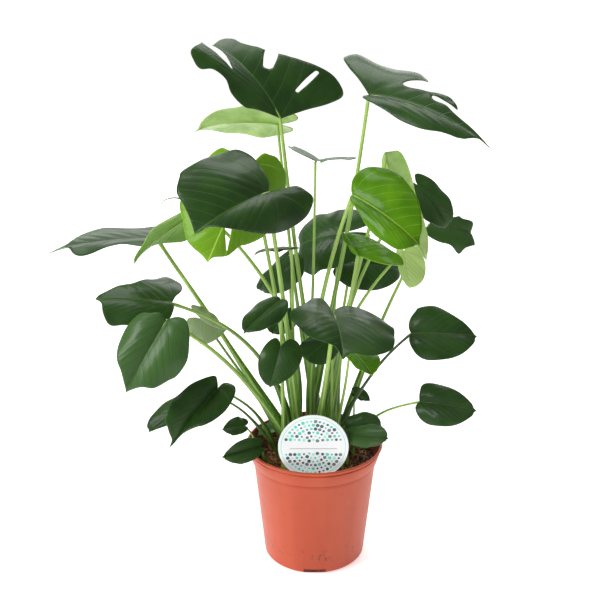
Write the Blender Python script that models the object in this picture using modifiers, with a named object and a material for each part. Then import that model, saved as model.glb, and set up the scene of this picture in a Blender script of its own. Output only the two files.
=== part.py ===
"""Potted monstera in a nursery pot.

Metres, +Z up. The origin is on the pot's axis, on the surface that the pot stands on.
-Y is the front. Each leaf blade, each shoot of leaf stalks, the soil, the pot and the
plant label is an object of its own.
"""
import math
from dataclasses import dataclass

import bpy
import bmesh
import numpy as np
from mathutils import Vector
from mathutils.geometry import delaunay_2d_cdt

MM = 0.001
GAP = 0.0003  # left between pieces that touch

# Pot
POT_HEIGHT = 0.190
RIM_RADIUS = 0.105
RIM_BAND = 0.028  # height of the flared band under the lip
LIP_RADIUS = 0.0022
BAND_LIP = 0.008  # height of the thick lip at the top of the band
BAND_LEAN = 0.0035
BAND_STEP = 0.0025  # the band stands out this far from the body
NECK_RADIUS = 0.0945  # body radius right under the band
FOOT_RADIUS = 0.0785
WALL = 0.0018
FOOT_CORNER = 0.007
FLOOR_UNDERSIDE = 0.004
FLOOR_TOP = 0.006
PAD_RADIUS = 0.025  # flat pad in the middle of the underside
RING_INNER = 0.068  # inner radius of the ring that the pot stands on
NOTCH_COUNT = 4
NOTCH_WIDTH = 0.034
NOTCH_HEIGHT = 0.009
NOTCH_DEPTH = 0.010
NOTCH_CIRCLE = 0.0775
CUT_BELOW = 0.001  # a cutter starts this far below the pot
WALL_START = 0.014  # the inner wall starts at this height, above the rounded corner
HOLE_COUNT = 8
HOLE_RADIUS = 0.005
HOLE_CIRCLE = 0.050
TURN_STEPS = 40

# Soil
SOIL_TOP = 0.166
SOIL_FLAT_RADIUS = 0.076
SOIL_EDGE_DROP = 0.005

# Plant label
LABEL_RADIUS = 0.052
LABEL_THICKNESS = 0.0010
LABEL_CENTRE = Vector((-0.003, -0.076, 0.2185))
STAKE_WIDTH = 0.012
STAKE_BOTTOM = 0.110
STAKE_POINT = 0.012
SLOT_ABOVE = 0.010  # the stake's slot is cut through the soil from this far above it
CARD_POINTS = 36

# Leaves and stalks
LEAF_THICKNESS = 0.0012
SLIT_END_ANGLES = (0, 60, 120, 180)  # degrees round each end of a slit
WIDEST = 0.18  # where a blade is widest, as a part of its length
LIFT_START = 0.20  # a lobe's rise starts here and is full LIFT_RUN behind it, as parts of the length
LIFT_RUN = 0.35
INNER_ROWS = (0.10, 0.32, 0.54, 0.74)  # rows of points inside a blade's outline, along / length
INNER_ACROSS = 0.55  # and how far out they lie, as a part of the outline's reach
STALK_SIDES_RESOLUTION = 1
STALK_POINTS = 9
STALK_TOP_SHARE = 0.42  # a stalk's radius under the blade, as a part of its base radius
STALK_TOP_CLEARANCE = 0.0045
SHEATH_LENGTH = 0.11
OWN_STALK_ARCH = 0.06
OWN_STALK_RADIUS = 0.0022
OWN_STALK_SINK = 0.0012  # a low leaf's own stalk ends this far above its blade's middle, so they join
SHARED_FOOT_SPREAD = 2.2  # mm between a shoot's middle and each of its stalks at the foot
STEM_SHARE = 0.70  # a stalk's radius above the sheath, as a part of its base radius
UPRIGHT_START = 0.006  # a stalk leaves the soil upright
STUB_RADIUS = 0.008
STUB_HEIGHT = 0.014
STUB_TAPER = 0.8
STUB_SIDES = 10

# Halves of a blade's outline, from the base round the margin to the tip, as
# (along the midrib / length, across / half width)
HALVES = {
    "heart": [(0.0, 0.0), (-0.1, 0.1), (-0.2, 0.3), (-0.2, 0.55), (-0.1, 0.8), (0.05, 0.95), (0.2, 1.0),
        (0.4, 0.95), (0.6, 0.8), (0.75, 0.6), (0.9, 0.3), (0.95, 0.1), (1.0, 0.0)],
    "slim": [(0.0, 0.0), (-0.1, 0.1), (-0.2, 0.3), (-0.2, 0.55), (-0.1, 0.8), (0.0, 0.95), (0.2, 1.0),
        (0.35, 0.9), (0.55, 0.65), (0.75, 0.4), (0.9, 0.15), (0.95, 0.05), (1.0, 0.0)],
    "lance": [(0.0, 0.0), (-0.1, 0.15), (-0.2, 0.4), (-0.1, 0.75), (0.0, 1.0), (0.2, 1.1), (0.4, 0.9),
        (0.55, 0.6), (0.7, 0.3), (0.9, 0.15), (0.95, 0.1), (1.0, 0.0)],
    "split_outer": [(0.0, 0.0), (0.0, 0.3), (0.0, 0.6), (0.0, 0.85), (0.1, 1.0), (0.25, 0.9), (0.35, 1.0),
        (0.35, 1.25), (0.45, 1.25), (0.55, 1.15), (0.7, 0.7), (0.8, 0.45), (0.85, 0.2), (0.9, 0.0)],
    "split_inner": [(0.0, 0.0), (0.0, 0.35), (0.0, 0.75), (0.05, 1.05), (0.2, 1.05), (0.35, 0.9),
        (0.45, 0.75), (0.6, 0.5), (0.7, 0.4), (0.8, 0.3), (0.9, 0.3), (0.95, 0.2), (0.9, 0.0)],
    "split_upper": [(0.0, 0.0), (-0.1, 0.3), (-0.2, 0.6), (-0.25, 0.95), (-0.15, 1.15), (-0.05, 1.1),
        (0.05, 0.95), (0.2, 0.95), (0.35, 1.0), (0.4, 0.95), (0.45, 0.75), (0.4, 0.7), (0.3, 0.55),
        (0.25, 0.4), (0.3, 0.35), (0.45, 0.4), (0.55, 0.5), (0.65, 0.5), (0.7, 0.3), (0.6, 0.35),
        (0.5, 0.35), (0.5, 0.25), (0.6, 0.25), (0.7, 0.15), (0.8, 0.1), (0.9, 0.05), (1.0, 0.0)],
    "split_lower": [(0.0, 0.0), (-0.05, 0.3), (0.05, 0.6), (0.2, 0.85), (0.3, 0.95), (0.45, 1.0),
        (0.6, 0.85), (0.75, 0.7), (0.85, 0.35), (0.9, 0.1), (0.95, 0.05), (1.0, 0.0)],
    "front_lower": [(0.0, 0.0), (-0.2, 0.05), (-0.4, 0.1), (-0.5, 0.35), (-0.55, 0.6), (-0.45, 0.85),
        (-0.3, 1.0), (-0.1, 1.05), (0.15, 1.05), (0.35, 0.9), (0.55, 0.65), (0.7, 0.4), (0.85, 0.1),
        (0.95, 0.05), (1.0, 0.0)],
    "front_upper": [(0.0, 0.0), (-0.1, 0.15), (-0.15, 0.4), (-0.2, 0.7), (-0.15, 0.95), (0.0, 1.0),
        (0.2, 1.0), (0.4, 1.0), (0.6, 1.0), (0.7, 0.9), (0.85, 0.7), (0.9, 0.45), (0.95, 0.2),
        (1.0, 0.0)],
    "behind_left": [(0.0, 0.0), (-0.2, 0.15), (-0.3, 0.35), (-0.4, 0.6), (-0.45, 1.0), (-0.3, 1.2),
        (-0.1, 1.25), (0.1, 1.15), (0.25, 1.0), (0.4, 0.8), (0.5, 0.65), (0.7, 0.45), (0.9, 0.1),
        (1.0, 0.0)],
    "behind_right": [(0.0, 0.0), (-0.05, 0.25), (-0.1, 0.6), (-0.1, 0.75), (0.0, 0.9), (0.25, 1.05),
        (0.5, 1.05), (0.65, 0.85), (0.85, 0.55), (0.95, 0.15), (1.0, 0.0)],
    "far_near": [(0.0, 0.0), (-0.1, 0.3), (-0.1, 0.7), (0.0, 0.95), (0.2, 0.9), (0.3, 1.0), (0.45, 1.15),
        (0.6, 1.1), (0.7, 0.7), (0.8, 0.35), (0.9, 0.1), (1.0, 0.0)],
    "far_off": [(0.0, 0.0), (-0.1, 0.4), (-0.1, 0.8), (0.0, 1.1), (0.2, 0.95), (0.4, 1.1), (0.55, 0.8),
        (0.7, 0.4), (0.8, 0.15), (0.9, 0.05), (1.0, 0.0)],
    "left_lower": [(0.0, 0.0), (-0.05, 0.15), (-0.1, 0.5), (-0.1, 0.85), (0.05, 1.1), (0.4, 1.15),
        (0.6, 1.1), (0.75, 0.8), (0.85, 0.4), (0.95, 0.15), (1.0, 0.0)],
    "left_upper": [(0.0, 0.0), (-0.05, 0.2), (-0.15, 0.5), (-0.15, 0.95), (-0.05, 1.35), (0.1, 1.4),
        (0.2, 1.25), (0.35, 0.85), (0.5, 0.55), (0.7, 0.4), (0.85, 0.2), (0.95, 0.1), (1.0, 0.0)],
    "glossy_right": [(0.0, 0.0), (-0.05, 0.1), (-0.1, 0.3), (-0.1, 0.55), (0.0, 0.8), (0.15, 1.0),
        (0.35, 1.2), (0.55, 1.15), (0.65, 1.0), (0.8, 0.75), (0.85, 0.4), (0.95, 0.1), (1.0, 0.0)],
    "glossy_left": [(0.0, 0.0), (-0.1, 0.3), (-0.1, 0.6), (-0.1, 0.9), (0.0, 1.05), (0.15, 1.1),
        (0.35, 1.0), (0.55, 0.75), (0.7, 0.45), (0.85, 0.2), (0.95, 0.05), (1.0, 0.0)],
    "long_right": [(0.0, 0.0), (-0.1, 0.05), (-0.15, 0.3), (-0.15, 0.6), (-0.05, 0.8), (0.15, 0.9),
        (0.35, 0.8), (0.5, 0.6), (0.6, 0.35), (0.75, 0.1), (0.9, 0.05), (1.0, 0.0)],
    "long_left": [(0.0, 0.0), (-0.05, 0.15), (-0.1, 0.4), (-0.05, 0.6), (0.05, 0.8), (0.2, 1.05),
        (0.35, 1.15), (0.45, 1.2), (0.6, 1.1), (0.75, 0.95), (0.8, 0.65), (0.85, 0.4), (0.9, 0.1),
        (1.0, 0.0)],
    "wide_left": [(0.0, 0.0), (-0.4, 0.05), (-0.55, 0.15), (-0.45, 0.4), (-0.2, 0.65), (0.0, 0.95),
        (0.25, 1.0), (0.5, 0.9), (0.65, 0.8), (0.75, 0.6), (0.8, 0.4), (0.85, 0.15), (1.0, 0.0)],
    "wide_right": [(0.0, 0.0), (-0.2, 0.05), (-0.4, 0.25), (-0.45, 0.5), (-0.45, 0.75), (-0.4, 1.0),
        (-0.2, 1.1), (0.25, 1.0), (0.55, 0.9), (0.8, 0.65), (0.9, 0.4), (0.9, 0.15), (1.0, 0.0)],
    "back_upper": [(0.0, 0.0), (-0.35, 0.05), (-0.6, 0.2), (-0.5, 0.5), (-0.25, 0.9), (0.1, 1.0),
        (0.4, 1.0), (0.65, 1.05), (0.85, 0.9), (1.0, 0.7), (1.05, 0.4), (1.0, 0.15), (1.0, 0.0)],
    "grey_upper": [(0.0, 0.0), (-0.1, 0.4), (0.1, 0.6), (0.3, 0.5), (0.45, 0.55), (0.55, 0.65),
        (0.65, 0.55), (0.85, 0.55), (0.95, 0.45), (1.0, 0.0)],
    "rolled_right": [(-0.05, 0.0), (-0.1, 0.4), (-0.15, 0.75), (-0.1, 0.9), (0.1, 0.95), (0.3, 0.9),
        (0.5, 0.85), (0.7, 0.75), (0.85, 0.5), (0.95, 0.2), (1.0, 0.0)],
    "rolled_left": [(-0.05, 0.0), (0.0, 0.35), (0.1, 0.6), (0.3, 0.8), (0.55, 0.7), (0.75, 0.4),
        (0.9, 0.15), (1.0, 0.0)],
    "grey_lower": [(0.0, 0.0), (-0.15, 0.3), (-0.15, 0.6), (0.1, 0.85), (0.35, 0.95), (0.55, 1.2),
        (0.7, 0.95), (0.9, 0.75), (1.0, 0.6), (1.0, 0.0)],
    "bright_lower": [(0.0, 0.0), (-0.05, 0.2), (-0.05, 0.4), (0.05, 0.65), (0.15, 0.9), (0.3, 1.05),
        (0.5, 1.05), (0.65, 0.9), (0.8, 0.6), (0.9, 0.3), (0.95, 0.1), (1.0, 0.0)],
}
LOBE_REACH = 0.20  # how far the heart's lobes reach behind the base, as a part of its length


@dataclass
class Leaf:
    """A blade through four points in millimetres: base, tip, and each margin where it is widest.

    The upper side faces along (tip - base) x (left - right).
    """
    name: str
    base: tuple
    tip: tuple
    left: tuple
    right: tuple
    bow: float = 10  # rise of the midrib's middle above its chord, mm
    crown: float = 5  # rise of each half's middle above a straight line, mm
    back: tuple = (0.22, 0.22)  # reach of the left and right lobes, as a part of the length
    halves: tuple = ("heart", "heart")  # outline of the left and right half
    lift: tuple = (0, 0)  # rise of the left and right lobe, mm
    slits: tuple = ()  # (start, end, half width at start, at end), half widths as parts of the length
    colour: str = "dark"
    own_foot: tuple = None  # where this blade's own short stalk leaves the soil, mm


LEAVES = [
    Leaf("leaf_top_left_split", (-50, 20, 685), (-160, 80, 785), (-125, 0, 735), (25, 75, 730), bow=22,
         crown=4, back=(0.06, 0.06),
         slits=(((0.47, -0.29), (0.70, -0.66), 0.036, 0.034),
                ((0.17, -0.41), (0.28, -0.83), 0.014, 0.016),
                ((0.42, 0.50), (0.92, 0.26), 0.010, 0.120)),
         halves=("split_outer", "split_inner")),
    Leaf("leaf_top_left_pale", (-55, 60, 670), (-178, 90, 655), (-80, 35, 700), (-85, 120, 640), bow=8,
         back=(0.24, 0.20), colour="pale"),
    Leaf("leaf_top_right_split", (75, 40, 715), (240, -30, 655), (115, 90, 745), (100, -15, 690),
         bow=18, crown=8, back=(0.22, 0.10),
         halves=("split_upper", "split_lower"), lift=(12, 0)),
    Leaf("leaf_top_thin", (0, 40, 620), (10, 120, 602), (-40, 70, 635), (60, 70, 617), bow=2, crown=3),
    Leaf("leaf_front_dark_heart", (-65, -80, 605), (-160, -140, 565), (-60, -120, 560),
         (-140, -60, 650), bow=14, crown=10, back=(0.42, 0.10), halves=("front_lower", "front_upper")),
    Leaf("leaf_bright_behind_heart", (-90, -25, 630), (-150, -80, 505), (-80, -45, 535),
         (-168, -10, 615), bow=8, crown=5, colour="bright",
         slits=(((0.54, 0.08), (0.68, 0.36), 0.055, 0.010),), halves=("behind_left", "behind_right")),
    Leaf("leaf_left_folded", (-165, 15, 555), (-260, -35, 490), (-205, -35, 555), (-190, 35, 510), bow=6,
         colour="bright", halves=("lance", "lance")),
    Leaf("leaf_far_left", (-235, 50, 500), (-395, 10, 490), (-275, -5, 505), (-285, 110, 500), bow=6,
         crown=5, back=(0.12, 0.12), halves=("far_near", "far_off")),
    Leaf("leaf_left_dark", (-205, -50, 435), (-310, -70, 450), (-240, -90, 420), (-235, 10, 450), bow=3,
         crown=6, back=(0.10, 0.20), halves=("left_lower", "left_upper")),
    Leaf("leaf_left_glossy_heart", (-205, -120, 435), (-260, -160, 345), (-175, -140, 405),
         (-260, -130, 420), bow=8, crown=8, back=(0.14, 0.16), halves=("glossy_right", "glossy_left")),
    Leaf("leaf_left_pale", (-170, 4, 390), (-130, -16, 380), (-160, -6, 410), (-180, 24, 345), bow=4,
         crown=3, back=(0.45, 0.45), colour="pale"),
    Leaf("leaf_low_left_long", (-140, -90, 320), (-205, -160, 260), (-125, -130, 300),
         (-175, -110, 335), bow=6, crown=5, back=(0.16, 0.08), halves=("long_right", "long_left")),
    Leaf("leaf_low_left_back", (-160, -50, 295), (-245, -80, 245), (-185, -70, 270), (-206, -42, 285),
         bow=4, crown=3),
    Leaf("leaf_rim_left_small", (-105, -40, 235), (-135, -80, 250), (-115, -70, 235), (-115, -40, 250),
         bow=2, crown=1, own_foot=(-78, -20)),
    Leaf("leaf_rim_left_heart", (-85, -50, 205), (-135, -100, 215), (-100, -90, 200), (-100, -60, 225),
         bow=4, crown=3, own_foot=(-72, -38)),
    Leaf("leaf_soil_left", (-45, 50, 192), (-90, 30, 184), (-55, 30, 190), (-60, 55, 198), bow=2,
         crown=1, own_foot=(-40, 52)),
    Leaf("leaf_mid_left_heart", (-50, -65, 445), (-100, -115, 415), (-50, -95, 425), (-85, -75, 440),
         bow=4, crown=4, back=(0.12, 0.08)),
    Leaf("leaf_mid_left_shadow", (-45, 42, 390), (-65, 30, 355), (-28, 34, 370), (-70, 38, 385), bow=2,
         crown=2),
    Leaf("leaf_mid_back_dark", (-40, 75, 465), (-85, 85, 405), (-25, 55, 430), (-70, 95, 440), bow=4,
         crown=4),
    Leaf("leaf_mid_thin", (-35, 0, 500), (-90, -10, 495), (-50, -10, 500), (-50, 20, 495), bow=2,
         crown=2),
    Leaf("leaf_centre_small_heart", (-50, -80, 380), (-65, -110, 330), (-20, -90, 365), (-80, -90, 370),
         bow=3, crown=3),
    Leaf("leaf_centre_wide", (25, -100, 435), (35, -170, 400), (105, -130, 415), (-35, -120, 440),
         bow=8, crown=8, back=(0.30, 0.30), halves=("wide_right", "wide_left")),
    Leaf("leaf_centre_under_dark", (25, -30, 375), (-15, -55, 350), (25, -45, 345), (-15, -30, 370),
         bow=2, crown=2),
    Leaf("leaf_centre_under_bright", (50, -50, 365), (80, -100, 345), (85, -60, 365), (50, -80, 355),
         bow=3, crown=2, colour="bright"),
    Leaf("leaf_back_dark_left", (40, 130, 485), (-25, 160, 455), (30, 110, 435), (35, 170, 510), bow=6,
         crown=5, back=(0.55, 0.60), halves=("back_upper", "back_upper")),
    Leaf("leaf_back_dark_right", (60, 150, 430), (145, 190, 400), (90, 190, 445), (75, 130, 390), bow=8,
         crown=6, back=(0.30, 0.30)),
    Leaf("leaf_bright_right", (50, -40, 590), (140, -100, 535), (105, -20, 620), (70, -90, 555), bow=10,
         crown=8, back=(0.12, 0.08), colour="bright", halves=("heart", "bright_lower")),
    Leaf("leaf_pale_rolled", (100, 20, 630), (165, 40, 470), (100, 35, 580), (148, 50, 578), bow=10,
         crown=8, colour="pale", halves=("rolled_left", "rolled_right")),
    Leaf("leaf_right_dark", (155, 100, 570), (205, 100, 505), (192, 114, 562), (155, 70, 535), bow=5,
         crown=4),
    Leaf("leaf_far_right_grey", (180, 130, 500), (247, 138, 485), (205, 148, 520), (200, 112, 470),
         bow=4, crown=4, halves=("grey_upper", "grey_lower")),
    Leaf("leaf_bright_low_right", (60, -30, 500), (35, 20, 520), (45, -20, 510), (125, -30, 490), bow=3,
         crown=6, colour="bright"),
    Leaf("leaf_pale_hanging", (130, 20, 490), (140, 10, 435), (162, 20, 472), (120, 20, 475), bow=3,
         crown=2, colour="pale"),
    Leaf("leaf_right_heart", (140, -30, 380), (235, -40, 380), (170, -10, 415), (170, -60, 350), bow=6,
         crown=5, back=(0.08, 0.08), halves=("slim", "heart")),
    Leaf("leaf_right_low_heart", (155, -40, 275), (235, -70, 275), (175, -30, 300), (175, -70, 250),
         bow=5, crown=4, back=(0.02, 0.10)),
    Leaf("leaf_right_tiny_dark", (60, 7, 268), (84, -6, 261), (70, 12, 274), (65, -1, 261), bow=1,
         crown=1, own_foot=(60, 0)),
    Leaf("leaf_rim_right_upper", (50, -35, 230), (100, -40, 235), (70, -25, 250), (70, -50, 225), bow=3,
         crown=3, own_foot=(50, -30)),
    Leaf("leaf_rim_right_lower", (50, -60, 230), (105, -90, 240), (80, -65, 250), (70, -90, 225), bow=4,
         crown=3, own_foot=(42, -50)),
]

# Shoots: name, where the shoot leaves the soil in mm, and for each leaf that it carries the leaf's
# name, how far its stalk arches above a straight line as a part of its run, and its base radius
SHOOTS = [
    ("stalks_top_left", (12, 32), [
        ("leaf_top_left_split", 0.0, 0.0048),
        ("leaf_top_left_pale", -0.012, 0.0040),
    ]),
    ("stalk_top_right", (-17, 18), [("leaf_top_right_split", -0.01, 0.0050)]),
    ("stalk_top_thin", (-8, 50), [("leaf_top_thin", 0.0, 0.0034)]),
    ("stalks_front_heart", (-16, -16), [
        ("leaf_front_dark_heart", 0.0, 0.0052),
        ("leaf_bright_behind_heart", 0.0, 0.0045),
    ]),
    ("stalk_left_folded", (-33, 9), [("leaf_left_folded", 0.14, 0.0046)]),
    ("stalk_far_left", (-31, 23), [("leaf_far_left", 0.0, 0.0056)]),
    ("stalks_left_dark", (-34, -12), [
        ("leaf_left_dark", 0.17, 0.0046),
        ("leaf_left_pale", 0.02, 0.0036),
    ]),
    ("stalk_left_glossy", (-24, -34), [("leaf_left_glossy_heart", 0.07, 0.0048)]),
    ("stalks_low_left", (-55, -6), [
        ("leaf_low_left_long", 0.08, 0.0032),
        ("leaf_low_left_back", 0.08, 0.0030),
    ]),
    ("stalks_mid_left", (-44, -56), [
        ("leaf_mid_left_heart", 0.0, 0.0038),
        ("leaf_centre_small_heart", 0.0, 0.0034),
    ]),
    ("stalks_mid_back", (-30, 38), [
        ("leaf_mid_back_dark", 0.0, 0.0036),
        ("leaf_mid_thin", 0.0, 0.0036),
        ("leaf_mid_left_shadow", 0.0, 0.0034),
    ]),
    ("stalk_centre_wide", (0, -26), [("leaf_centre_wide", 0.0, 0.0052)]),
    ("stalks_centre_under", (26, -32), [
        ("leaf_centre_under_dark", 0.0, 0.0034),
        ("leaf_centre_under_bright", 0.0, 0.0034),
    ]),
    ("stalks_back_dark", (14, 50), [
        ("leaf_back_dark_left", 0.0, 0.0042),
        ("leaf_back_dark_right", 0.0, 0.0042),
    ]),
    ("stalks_bright_right", (-6, 5), [
        ("leaf_bright_right", 0.06, 0.0050),
        ("leaf_pale_rolled", 0.0, 0.0044),
    ]),
    ("stalk_bright_low_right", (16, 6), [("leaf_bright_low_right", 0.0, 0.0044)]),
    ("stalk_pale_hanging", (34, 16), [("leaf_pale_hanging", 0.13, 0.0040)]),
    ("stalks_far_right", (36, 40), [
        ("leaf_right_dark", 0.12, 0.0040),
        ("leaf_far_right_grey", 0.03, 0.0040),
    ]),
    ("stalk_right_heart", (22, -13), [("leaf_right_heart", 0.07, 0.0036)]),
    ("stalk_right_low", (52, 12), [("leaf_right_low_heart", 0.1, 0.0030)]),
]

LEAF_COLOURS = {"dark": (0.020, 0.070, 0.018), "bright": (0.075, 0.250, 0.022),
                "pale": (0.260, 0.420, 0.110)}


def clear_scene():
    for ob in list(bpy.data.objects):
        bpy.data.objects.remove(ob, do_unlink=True)


def new_collection(name):
    group = bpy.data.collections.new(name)
    bpy.context.scene.collection.children.link(group)
    return group


def material(name, colour, roughness):
    mat = bpy.data.materials.new(name)
    mat.use_nodes = True
    shader = mat.node_tree.nodes["Principled BSDF"]
    shader.inputs["Base Color"].default_value = (*colour, 1.0)
    shader.inputs["Roughness"].default_value = roughness
    return mat


def mesh_object(name, bm, group, mat=None):
    mesh = bpy.data.meshes.new(name)
    bm.to_mesh(mesh)
    bm.free()
    ob = bpy.data.objects.new(name, mesh)
    group.objects.link(ob)
    if mat:
        mesh.materials.append(mat)
    return ob


def turned(name, profile, group, mat):
    """A solid of revolution: profile is (radius, z), from the axis or the top outside downwards."""
    bm = bmesh.new()
    verts = [bm.verts.new((r, 0.0, z)) for r, z in profile]
    for a, b in zip(verts, verts[1:]):
        bm.edges.new((a, b))
    if profile[0][0] > 0.0:
        bm.edges.new((verts[-1], verts[0]))
    ob = mesh_object(name, bm, group, mat)
    screw = ob.modifiers.new("turn", "SCREW")
    screw.steps = TURN_STEPS
    screw.render_steps = TURN_STEPS
    screw.use_merge_vertices = True
    screw.merge_threshold = 0.00005
    return ob


def subtract(ob, cutters):
    for cutter in cutters:
        cutter.hide_render = True
        cutter.display_type = "WIRE"
        cut = ob.modifiers.new("cut", "BOOLEAN")
        cut.operation = "DIFFERENCE"
        cut.object = cutter


def unite(ob, others):
    for other in others:
        other.hide_render = True
        other.display_type = "WIRE"
        join = ob.modifiers.new("join", "BOOLEAN")
        join.operation = "UNION"
        join.object = other


def box(name, size, centre, group, turn=0.0):
    bm = bmesh.new()
    bmesh.ops.create_cube(bm, size=1.0)
    bmesh.ops.scale(bm, vec=size, verts=bm.verts)
    ob = mesh_object(name, bm, group)
    ob.location = centre
    ob.rotation_euler.z = turn
    return ob


def cylinder(name, radius, depth, centre, group, segments, top_radius=None):
    bm = bmesh.new()
    bmesh.ops.create_cone(bm, cap_ends=True, segments=segments, radius1=radius,
                          radius2=radius if top_radius is None else top_radius, depth=depth)
    ob = mesh_object(name, bm, group)
    ob.location = centre
    return ob


def wall_radius(z):
    """Outer radius of the pot's body at a height under the flared band."""
    share = (z - FOOT_CORNER) / (POT_HEIGHT - RIM_BAND - FOOT_CORNER)
    return FOOT_RADIUS + (NECK_RADIUS - FOOT_RADIUS) * share


def arc(cx, cz, radius, start, end, count):
    """Points of an arc, (radius from the axis, z), angles in degrees."""
    angles = np.radians(np.linspace(start, end, count))
    return [(cx + radius * math.cos(a), cz + radius * math.sin(a)) for a in angles]


def make_pot(group, cutters, mat):
    band_bottom = POT_HEIGHT - RIM_BAND
    outside = arc(RIM_RADIUS - LIP_RADIUS, POT_HEIGHT - LIP_RADIUS, LIP_RADIUS, 90, -40, 5)
    outside += [(RIM_RADIUS - BAND_LEAN, POT_HEIGHT - BAND_LIP),
                (NECK_RADIUS + BAND_STEP, band_bottom + 0.001), (NECK_RADIUS, band_bottom)]
    outside += arc(FOOT_RADIUS - FOOT_CORNER, FOOT_CORNER, FOOT_CORNER, 0, -80, 5)
    underside = [(FOOT_RADIUS - FOOT_CORNER, 0.0), (RING_INNER, 0.0), (RING_INNER, FLOOR_UNDERSIDE),
                 (PAD_RADIUS + 0.002, FLOOR_UNDERSIDE), (PAD_RADIUS, 0.0), (0.0, 0.0)]
    inside = [(0.0, FLOOR_TOP), (FOOT_RADIUS - FOOT_CORNER, FLOOR_TOP),
              (wall_radius(WALL_START) - WALL, WALL_START), (NECK_RADIUS - WALL, band_bottom - 0.001),
              (NECK_RADIUS + 0.0015 - WALL, band_bottom + 0.003), (RIM_RADIUS - 0.0060, POT_HEIGHT - 0.007),
              (RIM_RADIUS - 2 * LIP_RADIUS, POT_HEIGHT - LIP_RADIUS)]
    pot = turned("pot", outside + underside + inside, group, mat)
    tools = []
    for i in range(NOTCH_COUNT):
        angle = -math.pi / 2 + i * math.tau / NOTCH_COUNT
        middle = (NOTCH_HEIGHT - CUT_BELOW) / 2
        centre = (NOTCH_CIRCLE * math.cos(angle), NOTCH_CIRCLE * math.sin(angle), middle)
        size = (NOTCH_DEPTH, NOTCH_WIDTH, NOTCH_HEIGHT + CUT_BELOW)
        tools.append(box(f"notch_{i}", size, centre, cutters, angle))
    for i in range(HOLE_COUNT):
        angle = (i + 0.5) * math.tau / HOLE_COUNT
        centre = (HOLE_CIRCLE * math.cos(angle), HOLE_CIRCLE * math.sin(angle), FLOOR_TOP)
        tools.append(cylinder(f"drain_{i}", HOLE_RADIUS, 0.03, centre, cutters, 12))
    subtract(pot, tools)
    return pot


def make_soil(group, cutters, mat):
    """Fills the pot from its floor to a crumbly top that drops a little towards the wall."""
    edge_z = SOIL_TOP - SOIL_EDGE_DROP
    clear = WALL + 2 * GAP
    low_z = FLOOR_TOP + GAP
    profile = [(0.0, SOIL_TOP), (SOIL_FLAT_RADIUS, SOIL_TOP), (wall_radius(edge_z) - clear, edge_z),
               (wall_radius(WALL_START) - clear, WALL_START), (FOOT_RADIUS - FOOT_CORNER - 0.001, low_z),
               (0.0, low_z)]
    soil = turned("soil", profile, group, mat)
    slot_height = SOIL_TOP - STAKE_BOTTOM + SLOT_ABOVE
    slot = box("stake_slot", (STAKE_WIDTH + 2 * GAP, LABEL_THICKNESS + 2 * GAP, slot_height),
               (LABEL_CENTRE.x, LABEL_CENTRE.y, STAKE_BOTTOM - GAP + slot_height / 2), cutters)
    subtract(soil, [slot])
    return soil


def make_label(group, mat):
    """A round card on a pointed stake, cut from one sheet, standing just inside the front rim."""
    cx, cy, cz = LABEL_CENTRE
    half_stake = STAKE_WIDTH / 2
    start = -90 + math.degrees(math.asin(half_stake / LABEL_RADIUS))
    outline = arc(cx, cz, LABEL_RADIUS, start, 180 - start, CARD_POINTS)
    outline += [(cx - half_stake, STAKE_BOTTOM + STAKE_POINT), (cx, STAKE_BOTTOM),
                (cx + half_stake, STAKE_BOTTOM + STAKE_POINT)]
    curve = bpy.data.curves.new("label", "CURVE")
    curve.dimensions = "2D"
    curve.fill_mode = "BOTH"
    curve.extrude = LABEL_THICKNESS / 2
    spline = curve.splines.new("POLY")
    spline.points.add(len(outline) - 1)
    for point, (x, z) in zip(spline.points, outline):
        point.co = (x, z, 0.0, 1.0)
    spline.use_cyclic_u = True
    curve.materials.append(mat)
    label = bpy.data.objects.new("label", curve)
    label.rotation_euler.x = math.pi / 2
    label.location.y = cy
    group.objects.link(label)
    return label


def half_outline(leaf, side):
    """One half of the blade's outline, its lobe stretched to the leaf's own reach."""
    points = HALVES[leaf.halves[side]]
    stretch = leaf.back[side] / LOBE_REACH if leaf.halves[side] in ("heart", "slim") else 1.0
    return [(s * stretch if s < 0 else s, t * (1, -1)[side]) for s, t in points]


def outline_points(leaf):
    """The blade's outline, (along / length, across / half width), left margin first."""
    return half_outline(leaf, 0)[:-1] + half_outline(leaf, 1)[:0:-1]


def slit_loop(slit, length, width):
    """A slit as a closed loop that is round at both ends, (along / length, across / half width)."""
    size = np.array((length, width))
    start, end = np.array(slit[0]) * size, np.array(slit[1]) * size
    half_start, half_end = np.array(slit[2:]) * length
    along = (end - start) / np.linalg.norm(end - start)
    across = np.array((-along[1], along[0]))
    loop = []
    for centre, half, first_angle in ((start, half_start, 90), (end, half_end, -90)):
        for angle in np.radians(first_angle + np.array(SLIT_END_ANGLES)):
            loop.append(centre + half * (along * math.cos(angle) + across * math.sin(angle)))
    return [tuple(point) for point in np.array(loop) / size]


def inside(point, loop):
    x, y = point
    hit = False
    for (x0, y0), (x1, y1) in zip(loop, loop[1:] + loop[:1]):
        if (y0 > y) != (y1 > y) and x < x0 + (y - y0) * (x1 - x0) / (y1 - y0):
            hit = not hit
    return hit


def half_width_at(leaf, side, s):
    """How far one half reaches from the midrib at a place along it."""
    outline = half_outline(leaf, side)
    reach = 0.0
    for (s0, t0), (s1, t1) in zip(outline, outline[1:]):
        if min(s0, s1) <= s <= max(s0, s1) and s0 != s1:
            reach = max(reach, abs(t0 + (t1 - t0) * (s - s0) / (s1 - s0)))
    return reach


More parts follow.
